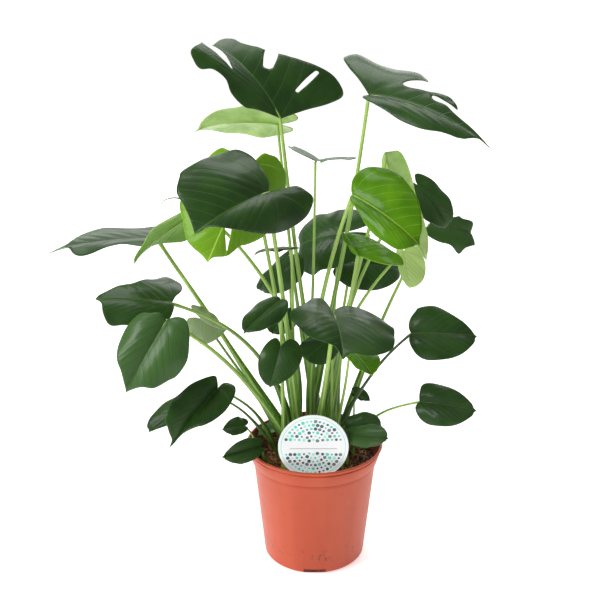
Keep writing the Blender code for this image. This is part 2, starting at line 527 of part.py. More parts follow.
def flat_blade(leaf):
    """Triangles of the flat blade in (along, across) coordinates, with its slits left out."""
    outline = [tuple(p) for p in outline_points(leaf)]
    points = list(outline)
    edges = [(i, (i + 1) % len(outline)) for i in range(len(outline))]
    base, tip, left, right, _ = blade_frame(leaf)
    slits = [slit_loop(slit, (tip - base).length, (left - right).length / 2) for slit in leaf.slits]
    for loop in slits:
        first = len(points)
        points += loop
        edges += [(first + i, first + (i + 1) % len(loop)) for i in range(len(loop))]
    for s in INNER_ROWS:
        left = INNER_ACROSS * half_width_at(leaf, 0, s)
        right = INNER_ACROSS * half_width_at(leaf, 1, s)
        points += [(s, 0.0), (s, left), (s, -right)]
    verts, _, faces, *_ = delaunay_2d_cdt([Vector(p) for p in points], edges, [], 1, 1e-6)
    kept = []
    for face in faces:
        centre = sum((verts[i] for i in face), Vector((0, 0))) / len(face)
        if inside(centre, outline) and not any(inside(centre, loop) for loop in slits):
            kept.append(face)
    return verts, kept


def blade_frame(leaf):
    """The blade's four points in metres and the direction that its upper side faces."""
    base, tip, left, right = (Vector(p) * MM for p in (leaf.base, leaf.tip, leaf.left, leaf.right))
    up = (tip - base).cross(left - right).normalized()
    return base, tip, left, right, up


def on_blade(leaf, s, t):
    """The point of the bent blade at (along, across)."""
    base, tip, left, right, up = blade_frame(leaf)
    bow = leaf.bow * MM
    middle = base + (tip - base) * s + up * (4 * bow * (s * (1 - s) if s > 0 else s))
    widest = base + (tip - base) * WIDEST + up * (4 * bow * WIDEST * (1 - WIDEST))
    edge = left if t > 0 else right
    across = abs(t)
    lobe = min(1.0, max(0.0, (LIFT_START - s) / LIFT_RUN)) * across
    rise = 4 * leaf.crown * across * (1 - across) + leaf.lift[0 if t > 0 else 1] * lobe
    return middle + (edge - widest) * across + up * (rise * MM)


def make_blade(leaf, group, mat):
    verts, faces = flat_blade(leaf)
    used = sorted({i for face in faces for i in face})
    bm = bmesh.new()
    made = {i: bm.verts.new(on_blade(leaf, verts[i].x, verts[i].y)) for i in used}
    for face in faces:
        bm.faces.new([made[i] for i in face])
    ob = mesh_object(leaf.name, bm, group, mat)
    shell = ob.modifiers.new("thickness", "SOLIDIFY")
    shell.thickness = LEAF_THICKNESS
    shell.offset = 0.0
    return ob


def stalk_route(foot, leaf, arch, end):
    """Points of a stalk from the soil to a blade: upright at first, then a run with a shallow arch."""
    foot_point = Vector((foot[0] * MM, foot[1] * MM, SOIL_TOP + GAP))
    start = foot_point + Vector((0, 0, UPRIGHT_START))
    run = end - start
    level = Vector((-run.y, run.x, 0.0))
    rise = run.cross(level).normalized() if level.length > 0.001 else Vector((0, 0, 1))
    if rise.z < 0:
        rise = -rise
    points = [foot_point]
    for i in range(STALK_POINTS):
        share = i / (STALK_POINTS - 1)
        points.append(start + run * share + rise * (4 * arch * run.length * share * (1 - share)))
    return points


def stalk_curve(name, points, base_radius, group, mat):
    """A stalk: thickest in its sheath at the foot, then an even taper to the blade."""
    curve = bpy.data.curves.new(name, "CURVE")
    curve.dimensions = "3D"
    curve.bevel_depth = 1.0
    curve.bevel_resolution = STALK_SIDES_RESOLUTION
    curve.use_fill_caps = True
    spline = curve.splines.new("POLY")
    spline.points.add(len(points) - 1)
    travelled = 0.0
    length = sum((b - a).length for a, b in zip(points, points[1:]))
    for i, point in enumerate(points):
        if i:
            travelled += (point - points[i - 1]).length
        sheath = max(0.0, 1 - travelled / SHEATH_LENGTH)
        stem = base_radius * (STEM_SHARE + (STALK_TOP_SHARE - STEM_SHARE) * travelled / length)
        spline.points[i].co = (*point, 1.0)
        spline.points[i].radius = stem + (base_radius - stem) * sheath
    if mat:
        curve.materials.append(mat)
    ob = bpy.data.objects.new(name, curve)
    group.objects.link(ob)
    return ob


def as_mesh(curve_object, group):
    """The curve object's tube as a welded mesh, in place of the curve."""
    name = curve_object.name
    depsgraph = bpy.context.evaluated_depsgraph_get()
    mesh = bpy.data.meshes.new_from_object(curve_object.evaluated_get(depsgraph))
    bm = bmesh.new()
    bm.from_mesh(mesh)
    bmesh.ops.remove_doubles(bm, verts=bm.verts, dist=0.00005)
    bm.to_mesh(mesh)
    bm.free()
    placed = curve_object.matrix_world.copy()
    bpy.data.objects.remove(curve_object, do_unlink=True)
    ob = bpy.data.objects.new(name, mesh)
    ob.matrix_world = placed
    group.objects.link(ob)
    return ob


def stalk_end(leaf, clearance=STALK_TOP_CLEARANCE):
    base, _, _, _, up = blade_frame(leaf)
    return base - up * clearance


def make_shoot(name, foot, stalks, leaves, group, cutters, mat):
    """One shoot: a single stalk, or several that rise from one short stub."""
    if len(stalks) == 1:
        leaf_name, arch, radius = stalks[0]
        leaf = leaves[leaf_name]
        return stalk_curve(name, stalk_route(foot, leaf, arch, stalk_end(leaf)), radius, group, mat)
    tubes = []
    for i, (leaf_name, arch, radius) in enumerate(stalks):
        leaf = leaves[leaf_name]
        end = stalk_end(leaf)
        heading = math.atan2(end.y - foot[1] * MM, end.x - foot[0] * MM)
        own_foot = (foot[0] + SHARED_FOOT_SPREAD * math.cos(heading),
                    foot[1] + SHARED_FOOT_SPREAD * math.sin(heading))
        points = stalk_route(own_foot, leaf, arch, end)
        points[0].z += GAP
        tubes.append(as_mesh(stalk_curve(f"{name}_{i}", points, radius, cutters, None), cutters))
    centre = (foot[0] * MM, foot[1] * MM, SOIL_TOP + GAP + STUB_HEIGHT / 2)
    stub = cylinder(name, STUB_RADIUS, STUB_HEIGHT, centre, group, STUB_SIDES, STUB_RADIUS * STUB_TAPER)
    stub.data.materials.append(mat)
    unite(stub, tubes)
    return stub


def add_own_stalk(blade, leaf, cutters):
    """Joins a low leaf's short stalk to its blade."""
    end = stalk_end(leaf, -OWN_STALK_SINK)
    points = stalk_route(leaf.own_foot, leaf, OWN_STALK_ARCH, end)
    tube = as_mesh(stalk_curve(f"{leaf.name}_stalk", points, OWN_STALK_RADIUS, cutters, None), cutters)
    unite(blade, [tube])


def main():
    clear_scene()
    parts = new_collection("potted_monstera")
    cutters = new_collection("cutters")
    terracotta = material("terracotta_plastic", (0.62, 0.115, 0.060), 0.45)
    earth = material("potting_soil", (0.040, 0.022, 0.012), 0.95)
    card = material("label_card", (0.85, 0.86, 0.84), 0.40)
    stalk_green = material("stalk_green", (0.20, 0.38, 0.07), 0.40)
    leaf_mats = {kind: material(f"leaf_{kind}", colour, 0.35) for kind, colour in LEAF_COLOURS.items()}
    make_pot(parts, cutters, terracotta)
    make_soil(parts, cutters, earth)
    make_label(parts, card)
    leaves = {leaf.name: leaf for leaf in LEAVES}
    for leaf in LEAVES:
        blade = make_blade(leaf, parts, leaf_mats[leaf.colour])
        if leaf.own_foot:
            add_own_stalk(blade, leaf, cutters)
    for name, foot, stalks in SHOOTS:
        make_shoot(name, foot, stalks, leaves, parts, cutters, stalk_green)


main()
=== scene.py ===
"""Looks for the potted monstera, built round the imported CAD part.

The CAD's blades, stalks, soil, pot and label are each replaced by a finer piece of the
same size in the same place. Metres, +Z up, -Y is the front.
"""
import math
from dataclasses import dataclass

import bmesh
import bpy
import numpy as np
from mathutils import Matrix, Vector, noise
from mathutils.geometry import delaunay_2d_cdt

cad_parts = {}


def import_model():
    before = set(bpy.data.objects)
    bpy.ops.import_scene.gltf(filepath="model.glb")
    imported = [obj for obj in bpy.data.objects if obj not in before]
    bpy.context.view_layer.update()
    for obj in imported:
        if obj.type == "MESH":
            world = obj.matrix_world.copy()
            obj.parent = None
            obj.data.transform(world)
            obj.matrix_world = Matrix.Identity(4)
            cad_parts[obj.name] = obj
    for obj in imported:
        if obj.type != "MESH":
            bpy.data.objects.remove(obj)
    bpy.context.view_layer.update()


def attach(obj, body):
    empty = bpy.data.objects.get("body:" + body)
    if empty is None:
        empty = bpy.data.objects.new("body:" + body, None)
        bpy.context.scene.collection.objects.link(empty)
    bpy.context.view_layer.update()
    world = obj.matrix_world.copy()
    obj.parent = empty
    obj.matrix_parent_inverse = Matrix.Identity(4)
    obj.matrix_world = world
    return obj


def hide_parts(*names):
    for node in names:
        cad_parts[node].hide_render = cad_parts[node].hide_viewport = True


MM = 0.001
GAP = 0.0003
SEED = 11

# Camera
CAMERA_PLACE = (-0.0226, -1.5, 0.967)
CAMERA_DOWN = 20.0  # degrees below level
LENS = 65.0
SENSOR = 36.0

# Light
WORLD_LIGHT = 0.30
FLOOR_REACH = 300.0
FLOOR_GLOW_REACH = (0.3, 2.5)  # distances between which the glow grows
FLOOR_GLOW_NEAR = 0.55
FLOOR_GLOW_FAR = 0.74
LIT_PLACE = (0.0, 0.0, 0.40)
SOFTBOXES = {  # place, width and height, power
    "key": ((-1.9, -1.0, 2.0), (1.4, 1.4), 62),
    "top": ((0.1, 0.9, 2.4), (1.8, 1.2), 28),
    "back": ((0.0, 3.2, 1.9), (3.6, 1.4), 40),
}

# Pot
POT_HEIGHT = 0.190
RIM_RADIUS = 0.105
RIM_BAND = 0.028
LIP = 0.0022
NECK_RADIUS = 0.0945
FOOT_RADIUS = 0.0785
WALL = 0.0018
FOOT_CORNER = 0.007
FLOOR_UNDERSIDE = 0.004
FLOOR_TOP = 0.006
WALL_START = 0.014  # height at which the inner wall starts
PAD_RADIUS = 0.025
RING_INNER = 0.068
NOTCH_COUNT = 4
NOTCH_WIDTH = 0.034
NOTCH_HEIGHT = 0.009
NOTCH_DEPTH = 0.010
NOTCH_CIRCLE = 0.0775
HOLE_COUNT = 8
HOLE_RADIUS = 0.005
HOLE_CIRCLE = 0.050
CUT_EXTRA = 0.0005  # how far a cutter sticks out of what it cuts
CUT_ROD = 0.03
TURN_STEPS = 144
SHARP_EDGE = 32  # degrees

# Soil
SOIL_TOP = 0.166
SOIL_SINK = 0.0012  # from SOIL_TOP down to the middle height of the lumps
SOIL_RADIUS = 0.0935
SOIL_EDGE_DROP = 0.005
SOIL_EDGE_START = 0.72  # where the top starts to fall towards the wall, as a part of SOIL_RADIUS
SOIL_LUMPS = ((0.0030, 38, 3.1), (0.0016, 120, 8.7), (0.0009, 380, 1.3))  # height, fineness, pattern
SOIL_RINGS = 60
SOIL_SIDES = 200
CRUMBS = 2000
BARK_BITS = 200
FIBRES = 520
CRUMB_REACH = 0.089
BARK_REACH = 0.086
FIBRE_REACH = 0.088
CRUMB_LEAST = 0.0008
CRUMB_GROWTH = 0.0026  # from the smallest crumb to the largest
BARK_SIZES = (0.0016, 0.0042)
BARK_SHAPE = (1.0, 0.55, 0.22)
FIBRE_POINTS = 8
FIBRE_LENGTHS = (0.006, 0.020)
FIBRE_HUMPS = (0.0004, 0.0030)
FIBRE_RADII = (0.00025, 0.00065)
FIBRE_TUFTS = (((-0.062, -0.028), (0.011, 0.016), 173),  # middle, spread and how many
               ((0.062, -0.048), (0.012, 0.010), 65))

# Plant label
LABEL_RADIUS = 0.052
LABEL_THICKNESS = 0.0010
LABEL_CENTRE = (-0.003, -0.076, 0.2185)
STAKE_WIDTH = 0.012
STAKE_BOTTOM = 0.110
STAKE_POINT = 0.012
LABEL_BEVEL = 0.0002

# Print on the card, as parts of its radius
DOT_STEP = 0.115  # from one ring of dots to the next
DOT_RINGS = 7
DOT_SIZES = (0.030, 0.052)
DOTS_PER_RING = 6  # more in each ring than in the one inside it
BAND_HALF = 0.17  # half the height of the band without dots
RULE_HEIGHT = -0.05
RULE_REACH = 0.66
CARD_LINE = (0.90, 0.925)  # inside and outside of the thin ring

# Leaves
BLADE_THICKNESS = 0.0007
GRID = 3.2  # mm between a blade's points
LEAST_ROWS = 42  # a small blade is still at least this many points long
GRID_CLEAR = 0.55  # steps of the grid that are kept free along the margin
SLIT_BULGE = 0.35
MARGIN_STEPS = 6  # points between two of the outline's
WIDEST = 0.18
LIFT_START = 0.20
LIFT_RUN = 0.35
LOBE_REACH = 0.20
VEIN_SLANT = 0.42  # how far forward a side vein runs on its way across
VEIN_CURVE = 0.16
VEIN_FAN = 27.0  # degrees between the veins of a lobe
RIPPLE = 0.0020  # height of the swelling between two side veins, as a part of the length
SIDE_VEINS = 7  # on each side of the midrib
WAVES = 1.9  # waves of the margin from base to tip
WAVE_HEIGHT = 0.002
DROOP_START = 0.80
TIP_DROOP = 0.003

# Stalks
STALK_SIDES = 14
STALK_POINTS = 44
STALK_TOP_SHARE = 0.50  # radius under the blade, as a part of the base radius
STEM_SHARE = 0.82
SHEATH_LENGTH = 0.26
SHEATH_FLARE = 1.45
SHEATH_MOST = 0.55  # longest that a sheath may be, as a part of its stalk
SHEATH_FULL = 0.30  # part of the sheath that keeps its full width
SHEATH_THINNING = 0.38
KNEE = 0.006  # from the stalk's top to its swollen knee, and the knee's own reach
KNEE_SWELLING = 0.22
STALK_SWAY = 0.0015
STALK_SUNK = 0.004
BLADE_TO_STALK = 0.0018
BLADE_TO_RIB = 0.0012
RIB_PLACES = (0.06, 0.20, 0.40, 0.62)  # along the midrib
RIB_SIZES = (0.75, 0.50, 0.36, 0.22)  # radius there, as a part of the stalk's at its top
UPRIGHT_START = 0.006
SHARED_FOOT_SPREAD = 2.2
OWN_STALK_ARCH = 0.06
OWN_STALK_RADIUS = 0.0020
OWN_STALK_TONE = 0.35
CURL_RADIUS = 0.0012
CHANCE_TONE = 0.10

# Halves of a blade's outline, from the base round the margin to the tip, as
# (along the midrib / length, across / half width)
HALVES = {
    "heart": [(0, 0), (-0.1, 0.1), (-0.2, 0.3), (-0.2, 0.55), (-0.1, 0.8), (0.05, 0.95), (0.2, 1),
        (0.4, 0.95), (0.6, 0.8), (0.75, 0.6), (0.9, 0.3), (0.95, 0.1), (1, 0)],
    "slim": [(0, 0), (-0.1, 0.1), (-0.2, 0.3), (-0.2, 0.55), (-0.1, 0.8), (0, 0.95), (0.2, 1), (0.35, 0.9),
        (0.55, 0.65), (0.75, 0.4), (0.9, 0.15), (0.95, 0.05), (1, 0)],
    "lance": [(0, 0), (-0.1, 0.15), (-0.2, 0.4), (-0.1, 0.75), (0, 1), (0.2, 1.1), (0.4, 0.9), (0.55, 0.6),
        (0.7, 0.3), (0.9, 0.15), (0.95, 0.1), (1, 0)],
    "split_outer": [(0, 0), (0, 0.3), (0, 0.6), (0, 0.85), (0.1, 1), (0.25, 0.9), (0.35, 1), (0.35, 1.25),
        (0.45, 1.25), (0.55, 1.15), (0.7, 0.7), (0.8, 0.45), (0.85, 0.2), (0.9, 0)],
    "split_inner": [(0, 0), (0, 0.35), (0, 0.75), (0.05, 1.05), (0.2, 1.05), (0.35, 0.9), (0.45, 0.75),
        (0.6, 0.5), (0.7, 0.4), (0.8, 0.3), (0.9, 0.3), (0.95, 0.2), (0.9, 0)],
    "split_upper": [(0, 0), (-0.1, 0.3), (-0.2, 0.6), (-0.25, 0.95), (-0.15, 1.15), (-0.05, 1.1),
        (0.05, 0.95), (0.2, 0.95), (0.35, 1), (0.4, 0.95), (0.45, 0.75), (0.4, 0.7), (0.3, 0.55),
        (0.25, 0.4), (0.3, 0.35), (0.45, 0.4), (0.55, 0.5), (0.65, 0.5), (0.7, 0.3), (0.6, 0.35),
        (0.5, 0.35), (0.5, 0.25), (0.6, 0.25), (0.7, 0.15), (0.8, 0.1), (0.9, 0.05), (1, 0)],
    "split_lower": [(0, 0), (-0.05, 0.3), (0.05, 0.6), (0.2, 0.85), (0.3, 0.95), (0.45, 1), (0.6, 0.85),
        (0.75, 0.7), (0.85, 0.35), (0.9, 0.1), (0.95, 0.05), (1, 0)],
    "front_lower": [(0, 0), (-0.2, 0.05), (-0.4, 0.1), (-0.5, 0.35), (-0.55, 0.6), (-0.45, 0.85), (-0.3, 1),
        (-0.1, 1.05), (0.15, 1.05), (0.35, 0.9), (0.55, 0.65), (0.7, 0.4), (0.85, 0.1), (0.95, 0.05),
        (1, 0)],
    "front_upper": [(0, 0), (-0.1, 0.15), (-0.15, 0.4), (-0.2, 0.7), (-0.15, 0.95), (0, 1), (0.2, 1),
        (0.4, 1), (0.6, 1), (0.7, 0.9), (0.85, 0.7), (0.9, 0.45), (0.95, 0.2), (1, 0)],
    "behind_left": [(0, 0), (-0.2, 0.15), (-0.3, 0.35), (-0.4, 0.6), (-0.45, 1), (-0.3, 1.2), (-0.1, 1.25),
        (0.1, 1.15), (0.25, 1), (0.4, 0.8), (0.5, 0.65), (0.7, 0.45), (0.9, 0.1), (1, 0)],
    "behind_right": [(0, 0), (-0.05, 0.25), (-0.1, 0.6), (-0.1, 0.75), (0, 0.9), (0.25, 1.05), (0.5, 1.05),
        (0.65, 0.85), (0.85, 0.55), (0.95, 0.15), (1, 0)],
    "far_near": [(0, 0), (-0.1, 0.3), (-0.1, 0.7), (0, 0.95), (0.2, 0.9), (0.3, 1), (0.45, 1.15),
        (0.6, 1.1), (0.7, 0.7), (0.8, 0.35), (0.9, 0.1), (1, 0)],
    "far_off": [(0, 0), (-0.1, 0.4), (-0.1, 0.8), (0, 1.1), (0.2, 0.95), (0.4, 1.1), (0.55, 0.8),
        (0.7, 0.4), (0.8, 0.15), (0.9, 0.05), (1, 0)],
    "left_lower": [(0, 0), (-0.05, 0.15), (-0.1, 0.5), (-0.1, 0.85), (0.05, 1.1), (0.4, 1.15), (0.6, 1.1),
        (0.75, 0.8), (0.85, 0.4), (0.95, 0.15), (1, 0)],
    "left_upper": [(0, 0), (-0.05, 0.2), (-0.15, 0.5), (-0.15, 0.95), (-0.05, 1.35), (0.1, 1.4),
        (0.2, 1.25), (0.35, 0.85), (0.5, 0.55), (0.7, 0.4), (0.85, 0.2), (0.95, 0.1), (1, 0)],
    "glossy_right": [(0, 0), (-0.05, 0.1), (-0.1, 0.3), (-0.1, 0.55), (0, 0.8), (0.15, 1), (0.35, 1.2),
        (0.55, 1.15), (0.65, 1), (0.8, 0.75), (0.85, 0.4), (0.95, 0.1), (1, 0)],
    "glossy_left": [(0, 0), (-0.1, 0.3), (-0.1, 0.6), (-0.1, 0.9), (0, 1.05), (0.15, 1.1), (0.35, 1),
        (0.55, 0.75), (0.7, 0.45), (0.85, 0.2), (0.95, 0.05), (1, 0)],
    "long_right": [(0, 0), (-0.1, 0.05), (-0.15, 0.3), (-0.15, 0.6), (-0.05, 0.8), (0.15, 0.9), (0.35, 0.8),
        (0.5, 0.6), (0.6, 0.35), (0.75, 0.1), (0.9, 0.05), (1, 0)],
    "long_left": [(0, 0), (-0.05, 0.15), (-0.1, 0.4), (-0.05, 0.6), (0.05, 0.8), (0.2, 1.05), (0.35, 1.15),
        (0.45, 1.2), (0.6, 1.1), (0.75, 0.95), (0.8, 0.65), (0.85, 0.4), (0.9, 0.1), (1, 0)],
    "wide_left": [(0, 0), (-0.4, 0.05), (-0.55, 0.15), (-0.45, 0.4), (-0.2, 0.65), (0, 0.95), (0.25, 1),
        (0.5, 0.9), (0.65, 0.8), (0.75, 0.6), (0.8, 0.4), (0.85, 0.15), (1, 0)],
    "wide_right": [(0, 0), (-0.2, 0.05), (-0.4, 0.25), (-0.45, 0.5), (-0.45, 0.75), (-0.4, 1), (-0.2, 1.1),
        (0.25, 1), (0.55, 0.9), (0.8, 0.65), (0.9, 0.4), (0.9, 0.15), (1, 0)],
    "back_upper": [(0, 0), (-0.35, 0.05), (-0.6, 0.2), (-0.5, 0.5), (-0.25, 0.9), (0.1, 1), (0.4, 1),
        (0.65, 1.05), (0.85, 0.9), (1, 0.7), (1.05, 0.4), (1, 0.15), (1, 0)],
    "grey_upper": [(0, 0), (-0.1, 0.4), (0.1, 0.6), (0.3, 0.5), (0.45, 0.55), (0.55, 0.65), (0.65, 0.55),
        (0.85, 0.55), (0.95, 0.45), (1, 0)],
    "rolled_right": [(-0.05, 0), (-0.1, 0.4), (-0.15, 0.75), (-0.1, 0.9), (0.1, 0.95), (0.3, 0.9),
        (0.5, 0.85), (0.7, 0.75), (0.85, 0.5), (0.95, 0.2), (1, 0)],
    "rolled_left": [(-0.05, 0), (0, 0.35), (0.1, 0.6), (0.3, 0.8), (0.55, 0.7), (0.75, 0.4), (0.9, 0.15),
        (1, 0)],
    "grey_lower": [(0, 0), (-0.15, 0.3), (-0.15, 0.6), (0.1, 0.85), (0.35, 0.95), (0.55, 1.2), (0.7, 0.95),
        (0.9, 0.75), (1, 0.6), (1, 0)],
    "bright_lower": [(0, 0), (-0.05, 0.2), (-0.05, 0.4), (0.05, 0.65), (0.15, 0.9), (0.3, 1.05),
        (0.5, 1.05), (0.65, 0.9), (0.8, 0.6), (0.9, 0.3), (0.95, 0.1), (1, 0)],
}


@dataclass
class Leaf:
    """One blade, in mm. Its upper side faces (tip - base) x (left - right)."""
    name: str
    base: tuple
    tip: tuple
    left: tuple
    right: tuple
    bow: float = 10
    crown: float = 5
    back: tuple = (0.22, 0.22)  # reach of left and right lobes of heart and slim halves / length
    halves: tuple = ("heart", "heart")  # outline of the left and right half
    lift: tuple = (0, 0)  # rise of the left and right lobe
    slits: tuple = ()  # (start, end, half width at start, half width at end), in (along, across)
    colour: str = "dark"
    own_foot: tuple = None  # where a low leaf's own short stalk stands, x and y
    tone: float = None  # how near its green is to the young one; left to chance if None
    stalk_tone: float = 0.4  # how dark its stalk is
    curl: tuple = ()  # a dry curled end that sticks out from behind the blade


LEAVES = [
    Leaf("leaf_top_left_split", (-50, 20, 685), (-160, 80, 785), (-125, 0, 735), (25, 75, 730), bow=22,
         crown=4, halves=("split_outer", "split_inner"),
         slits=(((0.47, -0.29), (0.70, -0.66), 0.036, 0.034),
                ((0.17, -0.41), (0.28, -0.83), 0.014, 0.016),
                ((0.42, 0.50), (0.92, 0.26), 0.010, 0.120))),
    Leaf("leaf_top_left_pale", (-55, 60, 670), (-178, 90, 655), (-80, 35, 700), (-85, 120, 640), bow=8,
         back=(0.24, 0.20), colour="pale", tone=0.55),
    Leaf("leaf_top_right_split", (75, 40, 715), (240, -30, 655), (115, 90, 745), (100, -15, 690), bow=18,
         crown=8, halves=("split_upper", "split_lower"), lift=(12, 0)),
    Leaf("leaf_top_thin", (0, 40, 620), (10, 120, 602), (-40, 70, 635), (60, 70, 617), bow=2, crown=3,
         tone=0.3),
    Leaf("leaf_front_dark_heart", (-65, -80, 605), (-160, -140, 565), (-60, -120, 560), (-140, -60, 650),
         bow=14, crown=10, halves=("front_lower", "front_upper")),
    Leaf("leaf_bright_behind_heart", (-90, -25, 630), (-150, -80, 505), (-80, -45, 535), (-168, -10, 615),
         bow=8, crown=5, halves=("behind_left", "behind_right"), colour="bright", tone=0.4,
         slits=(((0.54, 0.08), (0.68, 0.36), 0.055, 0.010),),
         curl=((-185, -35, 582), (-195, -35, 585), (-205, -35, 584), (-213, -35, 580), (-219, -35, 571))),
    Leaf("leaf_left_folded", (-165, 15, 555), (-260, -35, 490), (-205, -35, 555), (-190, 35, 510), bow=6,
         colour="bright", halves=("lance", "lance"), tone=0.15),
    Leaf("leaf_far_left", (-235, 50, 500), (-395, 10, 490), (-275, -5, 505), (-285, 110, 500), bow=6,
         crown=5, halves=("far_near", "far_off")),
    Leaf("leaf_left_dark", (-205, -50, 435), (-310, -70, 450), (-240, -90, 420), (-235, 10, 450), bow=3,
         crown=6, halves=("left_lower", "left_upper"), stalk_tone=0.7),
    Leaf("leaf_left_glossy_heart", (-205, -120, 435), (-260, -160, 345), (-175, -140, 405),
         (-260, -130, 420), bow=8, crown=8, halves=("glossy_right", "glossy_left"), tone=0.35),
    Leaf("leaf_left_pale", (-170, 4, 390), (-130, -16, 380), (-160, -6, 410), (-180, 24, 345), bow=4,
         crown=3, back=(0.45, 0.45), colour="pale", stalk_tone=0.75),
    Leaf("leaf_low_left_long", (-140, -90, 320), (-205, -160, 260), (-125, -130, 300), (-175, -110, 335),
         bow=6, crown=5, halves=("long_right", "long_left"), stalk_tone=0.8),
    Leaf("leaf_low_left_back", (-160, -50, 295), (-245, -80, 245), (-185, -70, 270), (-206, -42, 285),
         bow=4, crown=3, stalk_tone=0.8),
    Leaf("leaf_rim_left_small", (-105, -40, 235), (-135, -80, 250), (-115, -70, 235), (-115, -40, 250),
         bow=2, crown=1, own_foot=(-78, -20), tone=0.2),
    Leaf("leaf_rim_left_heart", (-85, -50, 205), (-135, -100, 215), (-100, -90, 200), (-100, -60, 225),
         bow=4, crown=3, own_foot=(-72, -38), tone=0.35),
    Leaf("leaf_soil_left", (-45, 50, 192), (-90, 30, 184), (-55, 30, 190), (-60, 55, 198), bow=2, crown=1,
         own_foot=(-40, 52), tone=0.5),
    Leaf("leaf_mid_left_heart", (-50, -65, 445), (-100, -115, 415), (-50, -95, 425), (-85, -75, 440), bow=4,
         crown=4, back=(0.12, 0.08)),
    Leaf("leaf_mid_left_shadow", (-45, 42, 390), (-65, 30, 355), (-28, 34, 370), (-70, 38, 385), bow=2,
         crown=2),
    Leaf("leaf_mid_back_dark", (-40, 75, 465), (-85, 85, 405), (-25, 55, 430), (-70, 95, 440), bow=4,
         crown=4),
    Leaf("leaf_mid_thin", (-35, 0, 500), (-90, -10, 495), (-50, -10, 500), (-50, 20, 495), bow=2, crown=2),
    Leaf("leaf_centre_small_heart", (-50, -80, 380), (-65, -110, 330), (-20, -90, 365), (-80, -90, 370),
         bow=3, crown=3),
    Leaf("leaf_centre_wide", (25, -100, 435), (35, -170, 400), (105, -130, 415), (-35, -120, 440), bow=8,
         crown=8, halves=("wide_right", "wide_left")),
    Leaf("leaf_centre_under_dark", (25, -30, 375), (-15, -55, 350), (25, -45, 345), (-15, -30, 370), bow=2,
         crown=2),
    Leaf("leaf_centre_under_bright", (50, -50, 365), (80, -100, 345), (85, -60, 365), (50, -80, 355), bow=3,
         crown=2, colour="bright"),
    Leaf("leaf_back_dark_left", (40, 130, 485), (-25, 160, 455), (30, 110, 435), (35, 170, 510), bow=6,
         crown=5, halves=("back_upper", "back_upper")),
    Leaf("leaf_back_dark_right", (60, 150, 430), (145, 190, 400), (90, 190, 445), (75, 130, 390), bow=8,
         crown=6, back=(0.30, 0.30)),
    Leaf("leaf_bright_right", (50, -40, 590), (140, -100, 535), (105, -20, 620), (70, -90, 555), bow=10,
         crown=8, back=(0.12, 0.08), colour="bright", halves=("heart", "bright_lower")),
    Leaf("leaf_pale_rolled", (100, 20, 630), (165, 40, 470), (100, 35, 580), (148, 50, 578), bow=10,
         crown=8, colour="pale", halves=("rolled_left", "rolled_right"), tone=0.9),
    Leaf("leaf_right_dark", (155, 100, 570), (205, 100, 505), (192, 114, 562), (155, 70, 535), bow=5,
         crown=4),
    Leaf("leaf_far_right_grey", (180, 130, 500), (247, 138, 485), (205, 148, 520), (200, 112, 470), bow=4,
         crown=4, halves=("grey_upper", "grey_lower"), tone=0.25),
    Leaf("leaf_bright_low_right", (60, -30, 500), (35, 20, 520), (45, -20, 510), (125, -30, 490), bow=3,
         crown=6, colour="bright"),
    Leaf("leaf_pale_hanging", (130, 20, 490), (140, 10, 435), (162, 20, 472), (120, 20, 475), bow=3,
         crown=2, colour="pale", tone=0.9),
    Leaf("leaf_right_heart", (140, -30, 380), (235, -40, 380), (170, -10, 415), (170, -60, 350), bow=6,
         crown=5, back=(0.08, 0.08), halves=("slim", "heart"), stalk_tone=0.95),
    Leaf("leaf_right_low_heart", (155, -40, 275), (235, -70, 275), (175, -30, 300), (175, -70, 250), bow=5,
         crown=4, back=(0.02, 0.10)),
    Leaf("leaf_right_tiny_dark", (60, 7, 268), (84, -6, 261), (70, 12, 274), (65, -1, 261), bow=1, crown=1,
         own_foot=(60, 0)),
    Leaf("leaf_rim_right_upper", (50, -35, 230), (100, -40, 235), (70, -25, 250), (70, -50, 225), bow=3,
         crown=3, own_foot=(50, -30), tone=0.15),
    Leaf("leaf_rim_right_lower", (50, -60, 230), (105, -90, 240), (80, -65, 250), (70, -90, 225), bow=4,
         crown=3, own_foot=(42, -50), tone=0.15),
]

